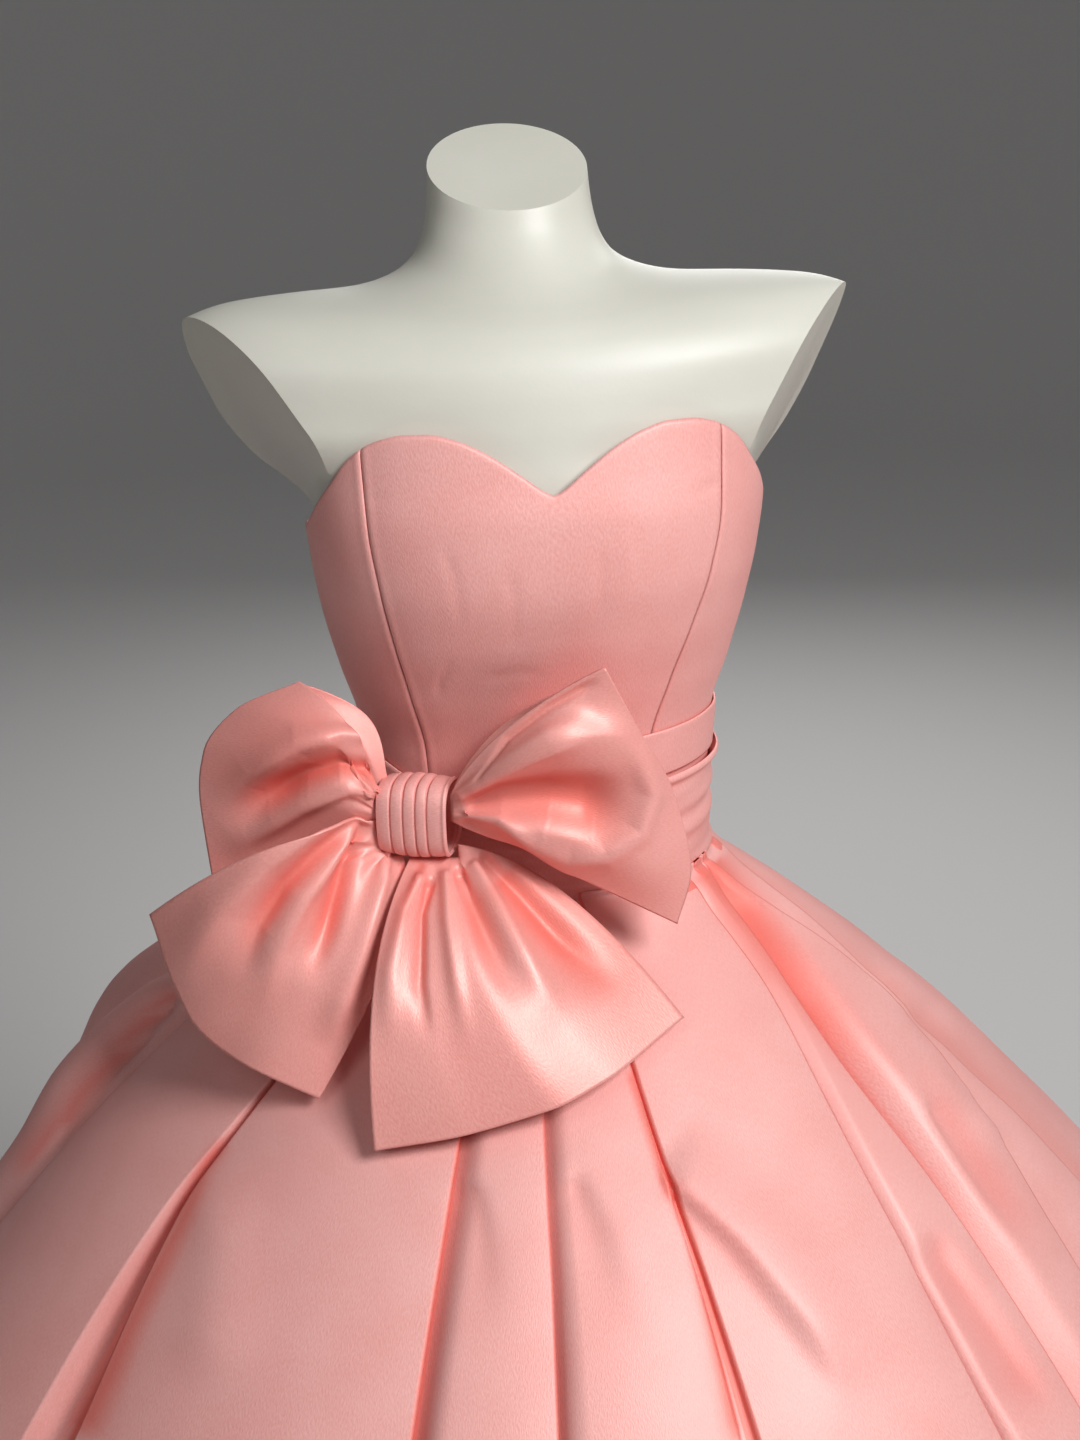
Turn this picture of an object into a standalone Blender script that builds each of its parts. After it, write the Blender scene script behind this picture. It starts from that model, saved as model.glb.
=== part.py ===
"""A strapless satin party dress with a sash and a big bow, on a limbless display form.

The part stands on the form's round base. Its origin is the middle of the base's underside,
+Z is up, the dress faces -Y, and +X is the viewer's right. Tables are in centimetres and
angles in degrees; meshes are in metres. An angle round the body is 0 at the front, 90 at
the viewer's right, 180 at the back.
"""
import math

import bmesh
import bpy
import numpy as np

CM = 0.01                   # one centimetre in metres
PIECE_GAP = 0.03            # gap between pieces that meet at a seam

# ---- driving sizes of the dress, in centimetres ----
WAIST_Z = 100.7             # waist seam
BODICE_WALL = 0.16
FORM_CLEARANCE = 0.11       # the form's surface lies this far inside the bodice
BUST_CLEARANCE = 0.20       # and this much more inside the cups
SASH_WALL = 0.16
SASH_LIFT = 0.12            # sash over bodice
SKIRT_WALL = 0.15
SKIRT_LENGTH = 56.0         # waist seam to hem, measured straight down
SKIRT_TOP_DROP = 0.03       # the skirt starts this far under the bodice's lower edge
BOW_WALL = 0.22             # two layers of satin
BOW_CENTRE = (-8.3, -8.6, 107.7)

# ---- driving sizes of the form and its stand ----
TORSO_BOTTOM_Z = 80.0
ARM_CUT_OFFSET = 0.4        # the middle between the arm cuts
ARM_CUT_POINT = (20.4, 1.2, 137.4)
ARM_CUT_NORMAL = (0.82, -0.42, -0.39)
ARM_CUT_LOW_Z = 124.0       # the cuts end here, under the bodice's edge
ARM_CUT_REACH = 30.0        # how far the cutting wedges reach past the form
POLE_RADIUS = 1.6
BASE_RADIUS = 17.0
BASE_THICKNESS = 0.8
COLLAR_RADIUS = 3.0
COLLAR_HEIGHT = 3.2

# Horizontal sections of the dressed body, up to the bodice's top edge.
# z, centre, half_width, front, back, power
BODY_SECTIONS = [
    (80.0, 0.0, 16.8, 11.4, 12.0, 2.15),
    (86.0, 0.0, 17.0, 11.5, 12.4, 2.15),
    (93.0, 0.0, 15.0, 10.2, 10.8, 2.15),
    (100.7, 0.1, 11.45, 7.9, 8.4, 2.1),
    (105.0, 0.2, 11.3, 8.0, 7.6, 2.1),
    (110.8, 0.3, 11.5, 8.4, 7.6, 2.1),
    (115.0, 0.35, 12.6, 9.5, 8.3, 2.15),
    (119.0, 0.35, 13.5, 10.8, 8.9, 2.3),
    (122.5, 0.4, 14.0, 11.4, 9.2, 2.5),
    (126.0, 0.45, 14.3, 11.1, 9.3, 2.6),
    (129.0, 0.45, 14.2, 10.4, 9.3, 2.6),
    (132.5, 0.45, 14.0, 9.6, 9.3, 2.6),
]

# Rings of the bare form above the bust, each through its side, front and back points.
# centre, side_x, side_y, side_z, front_y, front_z, back_y, back_z, power
NECK_RINGS = [
    (0.4, 13.4, 0.0, 124.3, -10.5, 123.8, 8.8, 124.2, 2.4),
    (0.45, 13.8, 0.1, 125.8, -10.0, 126.0, 8.8, 125.6, 2.2),
    (0.45, 15.2, 0.3, 127.2, -9.5, 128.0, 8.8, 127.2, 2.0),
    (0.45, 19.2, 0.6, 128.5, -8.9, 129.8, 8.7, 128.8, 1.85),
    (0.45, 23.4, 0.9, 131.2, -8.4, 131.6, 8.5, 130.4, 1.85),
    (0.4, 23.4, 1.1, 134.0, -7.9, 133.3, 8.2, 132.1, 1.9),
    (0.4, 22.0, 1.2, 136.0, -7.4, 134.6, 7.9, 133.6, 2.0),
    (0.4, 20.2, 1.3, 137.2, -6.9, 135.5, 7.6, 134.7, 2.0),
    (0.35, 17.6, 1.3, 137.9, -6.4, 136.2, 7.4, 135.6, 2.0),
    (0.3, 14.0, 1.4, 138.2, -5.9, 136.8, 7.1, 136.4, 2.0),
    (0.2, 10.3, 1.5, 138.35, -5.2, 137.4, 6.9, 137.2, 2.0),
    (0.1, 7.8, 1.8, 138.8, -4.4, 138.0, 6.7, 138.6, 2.0),
    (0.0, 6.2, 2.3, 139.7, -3.5, 138.8, 6.7, 140.4, 2.0),
    (0.0, 5.35, 2.8, 141.3, -2.5, 140.0, 7.1, 142.4, 2.0),
    (0.0, 5.0, 3.2, 143.2, -1.5, 141.6, 7.6, 144.8, 2.0),
    (0.0, 4.88, 3.42, 144.87, -1.0, 142.81, 7.84, 146.93, 2.0),
]

# Heights of the form's own rings under the dress, closest together where its waist curves in.
TORSO_RING_HEIGHTS = (TORSO_BOTTOM_Z, 86.0, 92.0, 96.0, 98.5, 100.7, 104.0, 106.5, 108.5, 110.0, 111.5,
                      113.0, 115.0, 117.5, 120.0, 122.0)

# Top edge of the bodice. angle, z
BODICE_TOP = [
    (0.0, 128.0), (4.5, 129.3), (11.0, 130.6), (17.0, 131.3), (24.0, 131.65),
    (31.0, 131.6), (38.0, 131.3), (44.5, 130.8), (52.0, 129.9), (60.0, 128.5),
    (68.0, 127.2), (78.0, 125.6), (90.0, 124.3), (110.0, 123.7), (180.0, 123.5),
]

# Seams that divide the bodice. z, princess_left, princess_right
BODICE_SEAMS = [
    (100.7, -38.0, 30.0),
    (111.0, -41.5, 32.0),
    (122.0, -42.6, 38.0),
    (132.0, -46.0, 43.0),
]

# Sash: the heights of its two layers round the waist. The wrap's folded top edge
# stands out over the flat band. angle, wrap_top, band_top
SASH_HEIGHTS = [
    (-180.0, 108.0, 111.2), (-90.0, 108.0, 111.0), (-60.0, 107.6, 109.6),
    (-44.0, 107.4, 108.9), (-28.0, 107.5, 109.2), (0.0, 107.9, 110.7),
    (30.0, 108.1, 111.4), (60.0, 108.2, 111.4), (90.0, 108.1, 111.2), (180.0, 108.0, 111.2),
]
SASH_FOLD_BULGE = 0.45      # how far the wrap's folded edge rolls out
SASH_FOLD_HEIGHT = 1.1

# Skirt silhouette: how wide it is at each drop below the waist seam. drop, radius
SKIRT_SPREAD = [
    (0.0, 11.6), (1.5, 12.9), (3.1, 15.0), (5.2, 18.0), (7.5, 20.8), (11.0, 24.8),
    (16.0, 30.3), (22.0, 36.0), (30.0, 42.8), (40.0, 50.0), (48.0, 54.6), (56.0, 58.4),
]
SKIRT_ROWS = (0.0, 2.0, 5.0, 9.5, 15.0, 22.0, 31.0, 43.0, 56.0)

# Pleats, from the back's left round the front to the back's right. An over pleat's left
# panel lies on its right one, an under pleat is the other way round, and an open pleat
# shows its underlay in a gap. The angles are of the folded edge at drops 0, 10, 25 and 56,
# gap_10 and gap_25 the open width in degrees, sink how deep the hidden side starts, lift
# how far the folded edge stands out, and puff the swell of the panel right of it (cm).
# name, kind, at_0, at_10, at_25, at_56, gap_10, gap_25, sink, lift, puff
PLEATS = [
    ("back_left_2", "under", -156.0, -156.0, -156.0, -156.0, 0.0, 0.0, 0.9, 0.3, 0.0),
    ("back_left_1", "under", -133.0, -132.0, -131.0, -130.0, 0.0, 0.0, 0.9, 0.3, 3.2),
    ("side_left_2", "under", -108.0, -107.0, -103.0, -101.0, 0.0, 0.0, 1.0, 1.3, 2.0),
    ("side_left_1", "under", -88.0, -88.0, -87.0, -85.0, 0.0, 0.0, 1.9, 0.5, 0.0),
    ("front_left", "open", -52.0, -57.0, -59.4, -61.0, 1.0, 7.0, 1.5, 0.5, 0.0),
    ("middle_left", "over", -20.4, -20.4, -20.4, -20.4, 0.0, 0.0, 0.5, 0.3, 0.0),
    ("middle", "over", -6.5, -6.5, -6.5, -6.5, 0.0, 0.0, 0.4, 0.15, 0.0),
    ("middle_right", "open", 9.5, 9.0, 8.2, 7.5, 0.0, 2.6, 1.6, 0.15, 0.0),
    ("front_right_1", "over", 56.0, 41.0, 34.0, 30.0, 0.0, 0.0, 0.5, 0.25, 0.0),
    ("front_right_2", "over", 70.0, 52.5, 43.5, 40.0, 0.0, 0.0, 2.2, 0.3, 0.0),
    ("side_right_1", "over", 77.0, 70.5, 58.0, 55.0, 0.0, 0.0, 0.9, 0.9, 0.0),
    ("side_right_2", "over", 88.0, 75.0, 71.5, 70.0, 0.0, 0.0, 1.1, 0.7, 0.4),
    ("side_right_3", "over", 106.0, 101.0, 98.0, 96.0, 0.0, 0.0, 1.1, 0.6, 1.0),
    ("back_right_1", "over", 131.0, 130.0, 130.0, 129.0, 0.0, 0.0, 0.9, 0.3, 0.0),
    ("back_right_2", "over", 156.0, 156.0, 156.0, 156.0, 0.0, 0.0, 0.9, 0.3, 0.0),
    ("back_middle", "open", 179.0, 179.0, 179.0, 179.0, 0.0, 1.0, 1.2, 0.3, 0.0),
]
PLEAT_REACH = 6.0                           # how fast the pleats open below the waist
PUFF_DROP, PUFF_REACH = 14.0, 8.0           # where the puffs swell most, and how far
PLEAT_DROPS = (0.0, 10.0, 25.0, 56.0)
FOLD_HEIGHT = (0.46, 0.6, 0.9, 1.2)         # a panel's face over the layer folded under it
TUCK_HEIGHT = (0.22, 0.35, 0.5, 0.7)        # that layer over the next panel's hidden start
UNDERLAP = (1.2, 2.4, 3.6, 5.0)             # how far a layer runs under the next
MAX_UNDERLAP = 0.42                         # of the width of the panel that covers it
STACK_HEIGHT = 1.25                         # the layers' total thickness at the waist
STACK_REACH = 2.2                           # how fast that thickness fades below the waist
PANEL_STEPS = (0.14, 0.38, 0.62, 0.86)      # a panel's own points, from edge to edge
PANEL_CROWN = 0.05                          # a panel's swell, of its width
PLEAT_POINTS = 8                            # a pleat's own points, from panel to panel
# The skirt's seams lie hidden in these pleats, and divide it into three panels.
# pleat, which of its points the seam runs through
SKIRT_SEAMS = [("side_left_2", 4), ("side_right_3", 3), ("back_middle", 4)]

# Bow: each petal is a fan of rays from the knot, each through its middle and its end.
# The places are from BOW_CENTRE. root_right, root_forward, root_up,
# mid_right, mid_forward, mid_up, end_right, end_forward, end_up
LOOP_RIGHT_RAYS = [
    (1.8, 2.8, 0.7, 8.1, 4.6, -2.3, 15.2, 5.2, -6.4),
    (1.8, 3.0, 1.1, 8.8, 6.3, 0.4, 16.1, 5.1, -2.7),
    (1.8, 3.0, 1.5, 9.3, 5.7, 3.3, 15.1, 4.9, 2.2),
    (1.8, 3.0, 1.9, 8.1, 6.6, 6.7, 13.3, 5.3, 6.0),
    (1.8, 2.8, 2.3, 5.1, 4.4, 7.0, 10.9, 6.0, 11.0),
]
LOOP_LEFT_RAYS = [
    (-2.6, 1.3, 0.5, -6.7, 0.2, -1.0, -12.9, -2.4, -5.4),
    (-2.6, 1.4, 0.9, -7.1, 1.0, 2.1, -13.3, -2.8, 1.0),
    (-2.6, 1.4, 1.3, -6.7, 1.4, 4.5, -12.8, -3.0, 4.1),
    (-2.65, 1.35, 1.8, -5.6, 1.4, 6.4, -10.6, -2.8, 6.8),
    (-2.7, 1.1, 2.4, -2.9, 0.9, 7.0, -6.6, -1.8, 8.7),
]
TAIL_LEFT_RAYS = [
    (-1.75, 0.9, -2.45, -2.7, 4.6, -6.7, -7.4, 7.6, -14.8),
    (-2.15, 0.9, -2.4, -5.4, 5.0, -6.1, -10.7, 6.4, -13.4),
    (-2.55, 1.1, -1.6, -7.7, 4.4, -4.5, -12.9, 4.6, -12.7),
    (-2.6, 1.2, -0.9, -8.6, 4.0, -2.9, -14.8, 2.8, -11.4),
    (-2.6, 1.3, -0.2, -9.6, 3.2, -0.5, -17.0, -1.2, -5.8),
]
TAIL_RIGHT_RAYS = [
    (0.95, 1.7, -2.6, -3.4, 7.7, -7.2, -4.4, 12.1, -15.9),
    (1.3, 2.0, -2.45, -0.3, 8.4, -7.2, 1.2, 12.9, -14.9),
    (1.8, 2.2, -2.55, 2.1, 8.4, -6.5, 5.8, 13.0, -13.8),
    (2.2, 2.3, -2.2, 4.6, 7.2, -5.9, 9.4, 11.9, -12.9),
    (2.2, 2.2, -1.2, 8.4, 3.6, -4.3, 15.0, 8.2, -11.2),
]
LOOP_DEPTH = 2.8            # front layer to back layer at a loop's fullest
KNOT_HALF_WIDTH = 2.2
KNOT_HALF_HEIGHT = 2.45
KNOT_HALF_DEPTH = 1.65
KNOT_BACK_DEPTH = 2.6       # its back lies on the sash
KNOT_OFFSET = (-0.1, -1.25, 0.5)
KNOT_WALL = 0.3
KNOT_PLEATS = 5
BOW_YAW = -20.0             # the knot's face, from the front towards the left


# ------------------------------------------------------------------ numbers
def smooth(xs, ys, x):
    """A smooth curve through the points (xs, ys) that never overshoots them."""
    xs, ys, x = np.asarray(xs, float), np.asarray(ys, float), np.asarray(x, float)
    steps = np.diff(xs)
    slopes = np.diff(ys) / steps
    tangents = np.concatenate([[slopes[0]], np.zeros(len(xs) - 2), [slopes[-1]]])
    for i in range(1, len(xs) - 1):
        if slopes[i - 1] * slopes[i] > 0:
            w0, w1 = 2 * steps[i] + steps[i - 1], steps[i] + 2 * steps[i - 1]
            tangents[i] = (w0 + w1) / (w0 / slopes[i - 1] + w1 / slopes[i])
    k = np.clip(np.searchsorted(xs, x, side="right") - 1, 0, len(xs) - 2)
    t = np.clip((x - xs[k]) / steps[k], 0.0, 1.0)
    return ((1 + 2 * t) * (1 - t) ** 2 * ys[k] + t * (1 - t) ** 2 * steps[k] * tangents[k]
            + t * t * (3 - 2 * t) * ys[k + 1] + t * t * (t - 1) * steps[k] * tangents[k + 1])


def column(table, index, x):
    """The table's column at x, where the first column holds the places."""
    return smooth([row[0] for row in table], [row[index] for row in table], x)


def rounded(value, power):
    """sin or cos bent into a superellipse's."""
    return np.sign(value) * np.abs(value) ** (2.0 / power)


# ------------------------------------------------------------------ meshes
def material(name, colour, roughness, metallic=0.0):
    """A Principled material in one colour."""
    made = bpy.data.materials.new(name)
    made.use_nodes = True
    shader = made.node_tree.nodes["Principled BSDF"]
    shader.inputs["Base Color"].default_value = (*colour, 1.0)
    shader.inputs["Roughness"].default_value = roughness
    shader.inputs["Metallic"].default_value = metallic
    return made


def mesh_object(name, points, faces, finish):
    """An object from points in centimetres, its faces turned out."""
    mesh = bpy.data.meshes.new(name)
    mesh.from_pydata([tuple(p) for p in np.asarray(points) * CM], [], faces)
    solid = bmesh.new()
    solid.from_mesh(mesh)
    bmesh.ops.recalc_face_normals(solid, faces=solid.faces)
    if solid.calc_volume(signed=True) < 0:
        bmesh.ops.reverse_faces(solid, faces=solid.faces)
    solid.to_mesh(mesh)
    solid.free()
    mesh.materials.append(finish)
    mesh.shade_smooth()
    mesh.set_sharp_from_angle(angle=math.radians(50))
    made = bpy.data.objects.new(name, mesh)
    bpy.context.collection.objects.link(made)
    return made


def grid_normals(grid, closed):
    """Unit normals of a grid of points, rows by columns; closed joins the columns' ends."""
    if closed:
        padded = np.concatenate([grid[:, -1:], grid, grid[:, :1]], axis=1)
        across = (padded[:, 2:] - padded[:, :-2]) / 2
    else:
        across = np.gradient(grid, axis=1)
    along = np.gradient(grid, axis=0)
    normals = np.cross(across, along)
    return normals / np.linalg.norm(normals, axis=2, keepdims=True)


def shell(name, grid, wall, finish, closed=False, normals=None):
    """A wall of cloth whose outer face is the grid, with its inner face and its rims."""
    rows, cols = grid.shape[:2]
    if normals is None:
        normals = grid_normals(grid, closed)
    inner = grid - normals * wall
    points = np.concatenate([grid.reshape(-1, 3), inner.reshape(-1, 3)])
    count = rows * cols
    last = cols if closed else cols - 1
    faces = []
    for r in range(rows - 1):
        for c in range(last):
            a, b = r * cols + c, r * cols + (c + 1) % cols
            faces.append((a, b, b + cols, a + cols))
            faces.append((a + count, a + cols + count, b + cols + count, b + count))
    for c in range(last):
        d = (c + 1) % cols
        top = (rows - 1) * cols
        faces.append((c, c + count, d + count, d))
        faces.append((top + c, top + d, top + d + count, top + c + count))
    if not closed:
        for r in range(rows - 1):
            a, b = r * cols, (r + 1) * cols
            faces.append((a, b, b + count, a + count))
            a, b = a + cols - 1, b + cols - 1
            faces.append((a, a + count, b + count, b))
    return mesh_object(name, points, faces, finish)


def loft(name, rings, finish):
    """A solid through closed rings, with flat ends."""
    rows, cols = rings.shape[:2]
    faces = [tuple(range(cols)), tuple(range((rows - 1) * cols, rows * cols))]
    for r in range(rows - 1):
        for c in range(cols):
            a, b = r * cols + c, r * cols + (c + 1) % cols
            faces.append((a, b, b + cols, a + cols))
    return mesh_object(name, rings.reshape(-1, 3), faces, finish)


# ------------------------------------------------------------------ body
def body_point(angle, z, out=0.0):
    """A point of the dressed body's section at height z, moved out by a distance."""
    s, c = np.sin(np.radians(angle)), np.cos(np.radians(angle))
    centre, half_width, front, back, power = (column(BODY_SECTIONS, k, z) for k in range(1, 6))
    depth = np.where(c > 0, front, back) + out
    return np.stack([centre + (half_width + out) * rounded(s, power),
                     -depth * rounded(c, power), z + 0.0 * s], axis=-1)


def body_normal(angle, z):
    """The dressed body's outward direction at an angle and a height."""
    turn, rise = 0.5, 0.1
    across = body_point(angle + turn, z) - body_point(angle - turn, z)
    along = body_point(angle, z + rise) - body_point(angle, z - rise)
    normals = np.cross(across, along)
    return normals / np.linalg.norm(normals, axis=-1, keepdims=True)


def form_clearance(z):
    """How far the form lies inside the dress's outer face at height z."""
    cup = np.exp(-((z - 121.5) / 5.0) ** 2)
    return BODICE_WALL + FORM_CLEARANCE + BUST_CLEARANCE * cup


def torso_rings(cols=32, neck_steps=2):
    """Rings of the form from its flat bottom to its neck's cut."""
    angles = np.arange(cols) * 360.0 / cols
    rings = []
    for z in TORSO_RING_HEIGHTS:
        rings.append(body_point(angles, np.full(cols, z), -form_clearance(z)))
    s, c = np.sin(np.radians(angles)), np.cos(np.radians(angles))
    stations = np.arange(len(NECK_RINGS), dtype=float)
    table = [(k, *row) for k, row in zip(stations, NECK_RINGS)]
    for t in np.linspace(0, len(NECK_RINGS) - 1, neck_steps * (len(NECK_RINGS) - 1) + 1):
        centre, side_x, side_y, side_z, front_y, front_z, back_y, back_z, power = (
            column(table, k, t) for k in range(1, 10))
        reach = rounded(c, power)
        depth = np.where(c > 0, side_y - front_y, back_y - side_y)
        tilt, saddle = (back_z - front_z) / 2, (back_z + front_z) / 2 - side_z
        rings.append(np.stack([centre + side_x * rounded(s, power), side_y - depth * reach,
                               side_z - tilt * reach + saddle * reach ** 2], axis=-1))
    return np.array(rings)


def arm_wedge(side, finish):
    """What is cut off at one arm: all that lies outside the cut and above its lower end."""
    point = np.array([ARM_CUT_OFFSET + side * ARM_CUT_POINT[0], *ARM_CUT_POINT[1:]])
    outward = np.array([side * ARM_CUT_NORMAL[0], ARM_CUT_NORMAL[1], 0.0])
    flat = np.linalg.norm(outward)
    outward = outward / flat
    along = np.array([-outward[1], outward[0], 0.0])
    high = ARM_CUT_POINT[2] + ARM_CUT_REACH / 2
    rings = []
    for end in (-1.0, 1.0):
        ring = []
        for z, edge in ((ARM_CUT_LOW_Z, True), (ARM_CUT_LOW_Z, False), (high, False), (high, True)):
            lean = -ARM_CUT_NORMAL[2] / flat * (z - ARM_CUT_POINT[2])
            out = lean if edge else ARM_CUT_REACH
            ring.append(point + outward * out + along * end * ARM_CUT_REACH
                        + np.array([0.0, 0.0, z - ARM_CUT_POINT[2]]))
        rings.append(ring)
    return loft("arm_wedge", np.array(rings), finish)


def make_form(finish):
    """The torso, cut flat at the arms."""
    torso = loft("form_torso", torso_rings(), finish)
    wedges = [arm_wedge(side, finish) for side in (1, -1)]
    for wedge in wedges:
        cut = torso.modifiers.new("cut", "BOOLEAN")
        cut.operation, cut.solver, cut.object = "DIFFERENCE", "EXACT", wedge
    bpy.context.view_layer.update()
    done = torso.evaluated_get(bpy.context.evaluated_depsgraph_get())
    whole, torso.data = torso.data, bpy.data.meshes.new_from_object(done)
    torso.modifiers.clear()
    for spare in [whole] + [wedge.data for wedge in wedges]:
        bpy.data.meshes.remove(spare)
    torso.data.set_sharp_from_angle(angle=math.radians(40))


def turned(name, profile, finish, cols=32):
    """A round solid from (radius, z) points, bottom to top."""
    angles = np.radians(np.arange(cols) * 360.0 / cols)
    rings = np.array([np.stack([r * np.sin(angles), -r * np.cos(angles),
                                np.full(cols, z)], axis=-1) for r, z in profile])
    return loft(name, rings, finish)


def make_stand(steel):
    """The base disc, the collar on it and the pole up to the torso."""
    foot = BASE_THICKNESS
    turned("form_base", [(BASE_RADIUS - 0.2, 0.0), (BASE_RADIUS, 0.2),
                         (BASE_RADIUS, foot - 0.45), (BASE_RADIUS - 0.45, foot - 0.1),
                         (BASE_RADIUS - 1.2, foot)], steel, cols=48)
    low = foot + PIECE_GAP
    turned("form_collar", [(COLLAR_RADIUS, low), (COLLAR_RADIUS, low + 0.8),
                           (COLLAR_RADIUS - 0.7, low + 1.4),
                           (COLLAR_RADIUS - 0.9, low + COLLAR_HEIGHT)], steel)
    low += COLLAR_HEIGHT + PIECE_GAP
    turned("form_pole", [(POLE_RADIUS, low), (POLE_RADIUS, TORSO_BOTTOM_Z - PIECE_GAP)],
           steel, cols=24)


# ------------------------------------------------------------------ bodice
def panel_angles(left, right, cols, through):
    """Angles across a panel; a column runs along the angle through, if one is given."""
    if through is None:
        return np.linspace(left, right, cols)
    half = (cols + 1) // 2
    return np.concatenate([np.linspace(left, through, half)[:-1],
                           np.linspace(through, right, cols + 1 - half)])


def make_panel(name, left, right, rows, cols, finish, through=None, inset=PIECE_GAP / 2):
    """A bodice panel between two seams, each a function of height to angle."""
    grid, normals = np.zeros((rows, cols, 3)), np.zeros((rows, cols, 3))
    tops = panel_angles(left(132.0), right(132.0), cols, through)
    for c in range(cols):
        heights = np.linspace(WAIST_Z + PIECE_GAP / 2, column(BODICE_TOP, 1, abs(tops[c])), rows)
        angles = np.array([panel_angles(left(z), right(z), cols, through)[c] for z in heights])
        edge_shift = inset * (1 if c == 0 else -1 if c == cols - 1 else 0)
        angles = angles + np.degrees(edge_shift / 9.0)
        grid[:, c], normals[:, c] = body_point(angles, heights), body_normal(angles, heights)
    shell(name, grid, BODICE_WALL, finish, normals=normals)


def make_bodice(satin):
    """Front, sides and backs between the princess, side and centre back seams."""
    def princess_left(z):
        return column(BODICE_SEAMS, 1, z)

    def princess_right(z):
        return column(BODICE_SEAMS, 2, z)

    def straight(angle):
        return lambda z: angle + 0.0 * np.asarray(z)

    make_panel("bodice_front", princess_left, princess_right, 12, 13, satin, through=0.0)
    make_panel("bodice_side_left", straight(-90.0), princess_left, 12, 7, satin)
    make_panel("bodice_side_right", princess_right, straight(90.0), 12, 7, satin)
    make_panel("bodice_back_left", straight(-180.0), straight(-90.0), 12, 9, satin)
    make_panel("bodice_back_right", straight(90.0), straight(180.0), 12, 9, satin)


# ------------------------------------------------------------------ sash
def sash_rows(angles, which):
    """Rows of (height, outward distance) for the wrap or the band, low to high."""
    wrap_top = column(SASH_HEIGHTS, 1, angles)
    band_top = column(SASH_HEIGHTS, 2, angles)
    base = SASH_LIFT + SASH_WALL
    if which == "band":
        low = wrap_top + 0.1
        return [(low + (band_top - low) * t, base + 0.0 * angles) for t in (0.0, 0.5, 1.0)]
    low = WAIST_Z + 0.1
    rows = [(low + (wrap_top - SASH_FOLD_HEIGHT - low) * t, base + 0.06 * math.sin(7 * t))
            for t in (0.0, 0.34, 0.67, 1.0)]
    for lift, out in ((0.4, 0.8), (0.85, 1.0), (1.0, 0.75)):
        rows.append((wrap_top - SASH_FOLD_HEIGHT * (1 - lift), base + SASH_FOLD_BULGE * out))
    return rows


def make_sash(satin):
    """The wrapped sash and the flat band above it, each closed behind the knot."""
    angles = np.linspace(-180.0, 180.0, 41)[:-1]
    for name, which in (("sash_wrap", "wrap"), ("sash_band", "band")):
        grid = np.array([body_point(angles, z, out) for z, out in sash_rows(angles, which)])
        shell(name, grid, SASH_WALL, satin, closed=True)


# ------------------------------------------------------------------ skirt
def skirt_radius(angle, drop):
    """The skirt's plain radius at an angle and a drop below the waist seam."""
    waist = body_point(angle, WAIST_Z, SASH_LIFT)
    round_waist = np.hypot(waist[..., 0], waist[..., 1])
    side = body_point(90.0, WAIST_Z, SASH_LIFT)[0]
    stack = STACK_HEIGHT * np.exp(-drop / STACK_REACH)
    return column(SKIRT_SPREAD, 1, drop) + stack + (round_waist - side) * np.exp(-drop / 10.0)


def skirt_slant(drop):
    """How much longer a step out from the axis is than the same step off the cloth."""
    low, high = max(drop - 0.5, 0.0), min(drop + 0.5, SKIRT_LENGTH)
    rise = column(SKIRT_SPREAD, 1, high) - column(SKIRT_SPREAD, 1, low)
    return math.hypot(1.0, rise / (high - low))


class Pleat:
    """One pleat at one drop: its sizes, in degrees round the body and cm outward."""

    def __init__(self, row, drop, radius):
        _, self.kind, *values = row
        grow = 1.0 - math.exp(-drop / PLEAT_REACH)
        degree = math.degrees(1.0 / radius)
        gap = smooth(PLEAT_DROPS, (0.0, values[4], values[5], values[5] * 1.3), drop)
        self.edge = smooth(PLEAT_DROPS, values[:4], drop)
        self.other = self.edge + max(gap, 0.7 * degree)
        self.lift = values[7] * grow
        self.fold = smooth(PLEAT_DROPS, FOLD_HEIGHT, drop) * skirt_slant(drop)
        self.tuck = smooth(PLEAT_DROPS, TUCK_HEIGHT, drop) * skirt_slant(drop)
        self.sink = values[6] * (0.25 + 0.75 * grow)
        self.turn = 0.35 * degree
        self.lap = smooth(PLEAT_DROPS, UNDERLAP, drop) * degree
        self.puff = values[8] * math.exp(-((drop - PUFF_DROP) / PUFF_REACH) ** 2)

    def low(self):
        """The height where the hidden side comes into sight."""
        return self.lift - self.fold - self.tuck - self.sink

    def panel_end(self):
        """Where the panel on the left stops."""
        if self.kind == "under":
            return self.edge - 0.3 * self.turn, self.low()
        return self.edge - self.turn, self.lift

    def panel_start(self):
        """Where the panel on the right starts."""
        if self.kind == "over":
            return self.edge + 0.3 * self.turn, self.low()
        return (self.other if self.kind == "open" else self.edge) + self.turn, self.lift

    def points(self, left_panel, right_panel):
        """The folded section, as (degrees, height) points from left to right."""
        if self.kind == "open":
            floor = self.lift - self.sink - self.fold
            middle = (self.edge + self.other) / 2
            return [self.panel_end(), (self.edge, self.lift - self.fold / 2),
                    (self.edge - self.lap / 3, floor),
                    (self.edge + 0.1 * (middle - self.edge), floor), (middle, floor),
                    (self.other + self.lap / 3, floor),
                    (self.other, self.lift - self.fold / 2), self.panel_start()]
        side, cover = (1, left_panel) if self.kind == "over" else (-1, right_panel)

        def under(inward, depth):
            angle = self.edge - side * inward
            return angle, cover(angle) - depth

        folded = [(self.edge - side * self.turn, self.lift),
                  (self.edge, self.lift - self.fold / 2), under(self.turn, self.fold),
                  under(self.lap / 2, self.fold), under(self.lap, self.fold),
                  under(self.lap + self.turn, self.fold + self.tuck / 2),
                  under(self.lap, self.fold + self.tuck),
                  (self.edge + side * 0.3 * self.turn, self.low())]
        return folded[::side]


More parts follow.
